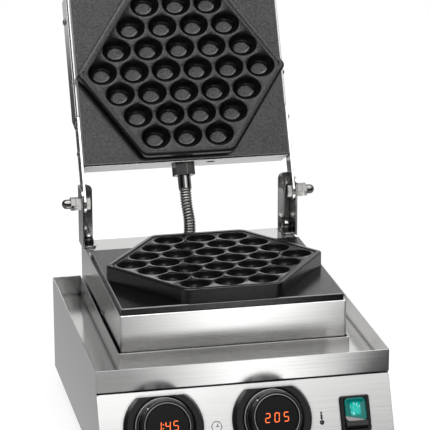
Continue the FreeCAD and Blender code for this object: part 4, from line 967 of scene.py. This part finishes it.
def add_light(name, place, size, power):
    light_data = bpy.data.lights.new(name, "AREA")
    light_data.shape = "RECTANGLE"
    light_data.size, light_data.size_y = size
    light_data.energy = power
    light = bpy.data.objects.new(name, light_data)
    light.location = place
    way = Vector(LAMP_TARGET) - Vector(place)
    light.rotation_euler = way.to_track_quat("-Z", "Y").to_euler()
    bpy.context.scene.collection.objects.link(light)


def mixed_by_ray(tree, shader, layers):
    """Lays shaders over the first one, each for one kind of ray and with its share."""
    path = add_node(tree, "ShaderNodeLightPath")
    for ray, share, other in layers:
        mix = add_node(tree, "ShaderNodeMixShader")
        feed(tree, mix.inputs["Fac"], ramp(tree, path.outputs[ray], 0, 1, 0, share))
        feed(tree, mix.inputs[1], shader)
        feed(tree, mix.inputs[2], other)
        shader = mix.outputs[0]
    return shader


def make_world():
    """White to the camera, even light for matt pieces, and a studio for what reflects.

    In front the studio is dark low down and has a bright band above, which is dark to the left,
    dims to the right and ends in a grey zenith.  Behind is a grey wall, darker upwards and to the
    left.  Both sides are dark.
    """
    world = bpy.data.worlds.new("studio")
    bpy.context.scene.world = world
    world.use_nodes = True
    tree = world.node_tree
    tree.nodes.clear()
    x, y, z = split_axes(tree, "Generated")
    band = arithmetic(tree, "MULTIPLY", ramp(tree, x, *BAND_TO_RIGHT), ramp(tree, x, *BAND_TO_LEFT))
    above = blended(tree, ramp(tree, z, *BAND_TOP), band, ZENITH)
    front = blended(tree, ramp(tree, z, *BAND_FOOT), LOW_FRONT, above)
    wall = arithmetic(tree, "MULTIPLY", ramp(tree, z, *WALL_UPWARDS), ramp(tree, x, *WALL_TO_LEFT))
    behind = arithmetic(tree, "MULTIPLY", wall, ramp(tree, x, *WALL_TO_RIGHT))
    both = blended(tree, ramp(tree, y, *FRONT_TO_BACK), front, behind)
    aside = arithmetic(tree, "ABSOLUTE", x)
    studio = arithmetic(tree, "MULTIPLY", both, ramp(tree, aside, *SKY_TO_SIDES))
    shaders = {}
    for name, strength in (("matt", MATT_SKY), ("mirror", studio), ("seen", 1.0)):
        background = add_node(tree, "ShaderNodeBackground")
        background.inputs["Color"].default_value = (1, 1, 1, 1)
        feed(tree, background.inputs["Strength"], strength)
        shaders[name] = background.outputs[0]
    layers = (("Is Glossy Ray", 1, shaders["mirror"]), ("Is Camera Ray", 1, shaders["seen"]))
    output = add_node(tree, "ShaderNodeOutputWorld")
    feed(tree, output.inputs["Surface"], mixed_by_ray(tree, shaders["matt"], layers))


def floor_glow(tree):
    """Strength of the floor in reflections.

    In front it has a bright pool, a little to the right, which ends at a dark edge that slants
    past the machine.  Behind it fades with the distance, is darker to the left, and is light
    again far away.
    """
    x, y, _ = split_axes(tree, "Object")
    middle = ramp(tree, y, *POOL_MIDDLE)
    aside = arithmetic(tree, "ABSOLUTE", arithmetic(tree, "SUBTRACT", x, middle))
    spread = arithmetic(tree, "DIVIDE", aside, ramp(tree, y, *POOL_WIDTH))
    power = arithmetic(tree, "MULTIPLY", ramp(tree, y, *POOL_NEAR), ramp(tree, y, *POOL_FAR))
    slanted_place = arithmetic(tree, "ADD", x, arithmetic(tree, "MULTIPLY", y, POOL_EDGE_SLOPE))
    pool = arithmetic(tree, "MULTIPLY", ramp(tree, spread, *POOL_SPREAD),
                      arithmetic(tree, "MULTIPLY", power, ramp(tree, slanted_place, *POOL_EDGE)))
    far = arithmetic(tree, "ADD", ramp(tree, y, *BEHIND_FADE), ramp(tree, y, *BEHIND_FAR))
    behind = arithmetic(tree, "MULTIPLY", far, ramp(tree, x, *BEHIND_TO_LEFT))
    return blended(tree, ramp(tree, y, *POOL_TO_BEHIND), pool, behind)


def make_floor():
    """Pale floor that keeps the machine's shadow and shows nearly white to the camera."""
    half = FLOOR_HALF
    mesh = bpy.data.meshes.new("floor")
    mesh.from_pydata([(-half, -half, 0), (half, -half, 0), (half, half, 0), (-half, half, 0)], [],
                     [(0, 1, 2, 3)])
    made = material("floor", 0.0, FLOOR_ROUGHNESS, FLOOR_COLOUR, FLOOR_SPECULAR)
    tree = made.node_tree
    mirrored = add_node(tree, "ShaderNodeEmission")
    feed(tree, mirrored.inputs["Strength"], floor_glow(tree))
    seen = add_node(tree, "ShaderNodeEmission")
    layers = (("Is Glossy Ray", 1, mirrored.outputs[0]),
              ("Is Camera Ray", FLOOR_SEEN_SHARE, seen.outputs[0]))
    shader = tree.nodes["Principled BSDF"].outputs[0]
    feed(tree, tree.nodes["Material Output"].inputs["Surface"], mixed_by_ray(tree, shader, layers))
    mesh.materials.append(made)
    floor = bpy.data.objects.new("floor", mesh)
    bpy.context.scene.collection.objects.link(floor)


def make_lights():
    for name, (place, size, power) in LAMPS.items():
        add_light(name, place, size, power)


def main():
    bpy.context.scene.view_settings.view_transform = "Standard"
    materials = make_materials()
    dress_nodes(materials)
    make_castings(materials)
    make_conduit(materials)
    for joint_name in DISPLAYS:
        make_display(joint_name, materials)
    make_ring("timer_dial", "timer_turn", materials)
    make_ring("thermostat_dial", "thermostat_turn", materials)
    make_switch_window(materials)
    make_clock(materials)
    make_thermometer(materials)
    make_camera()
    make_world()
    make_floor()
    make_lights()


main()
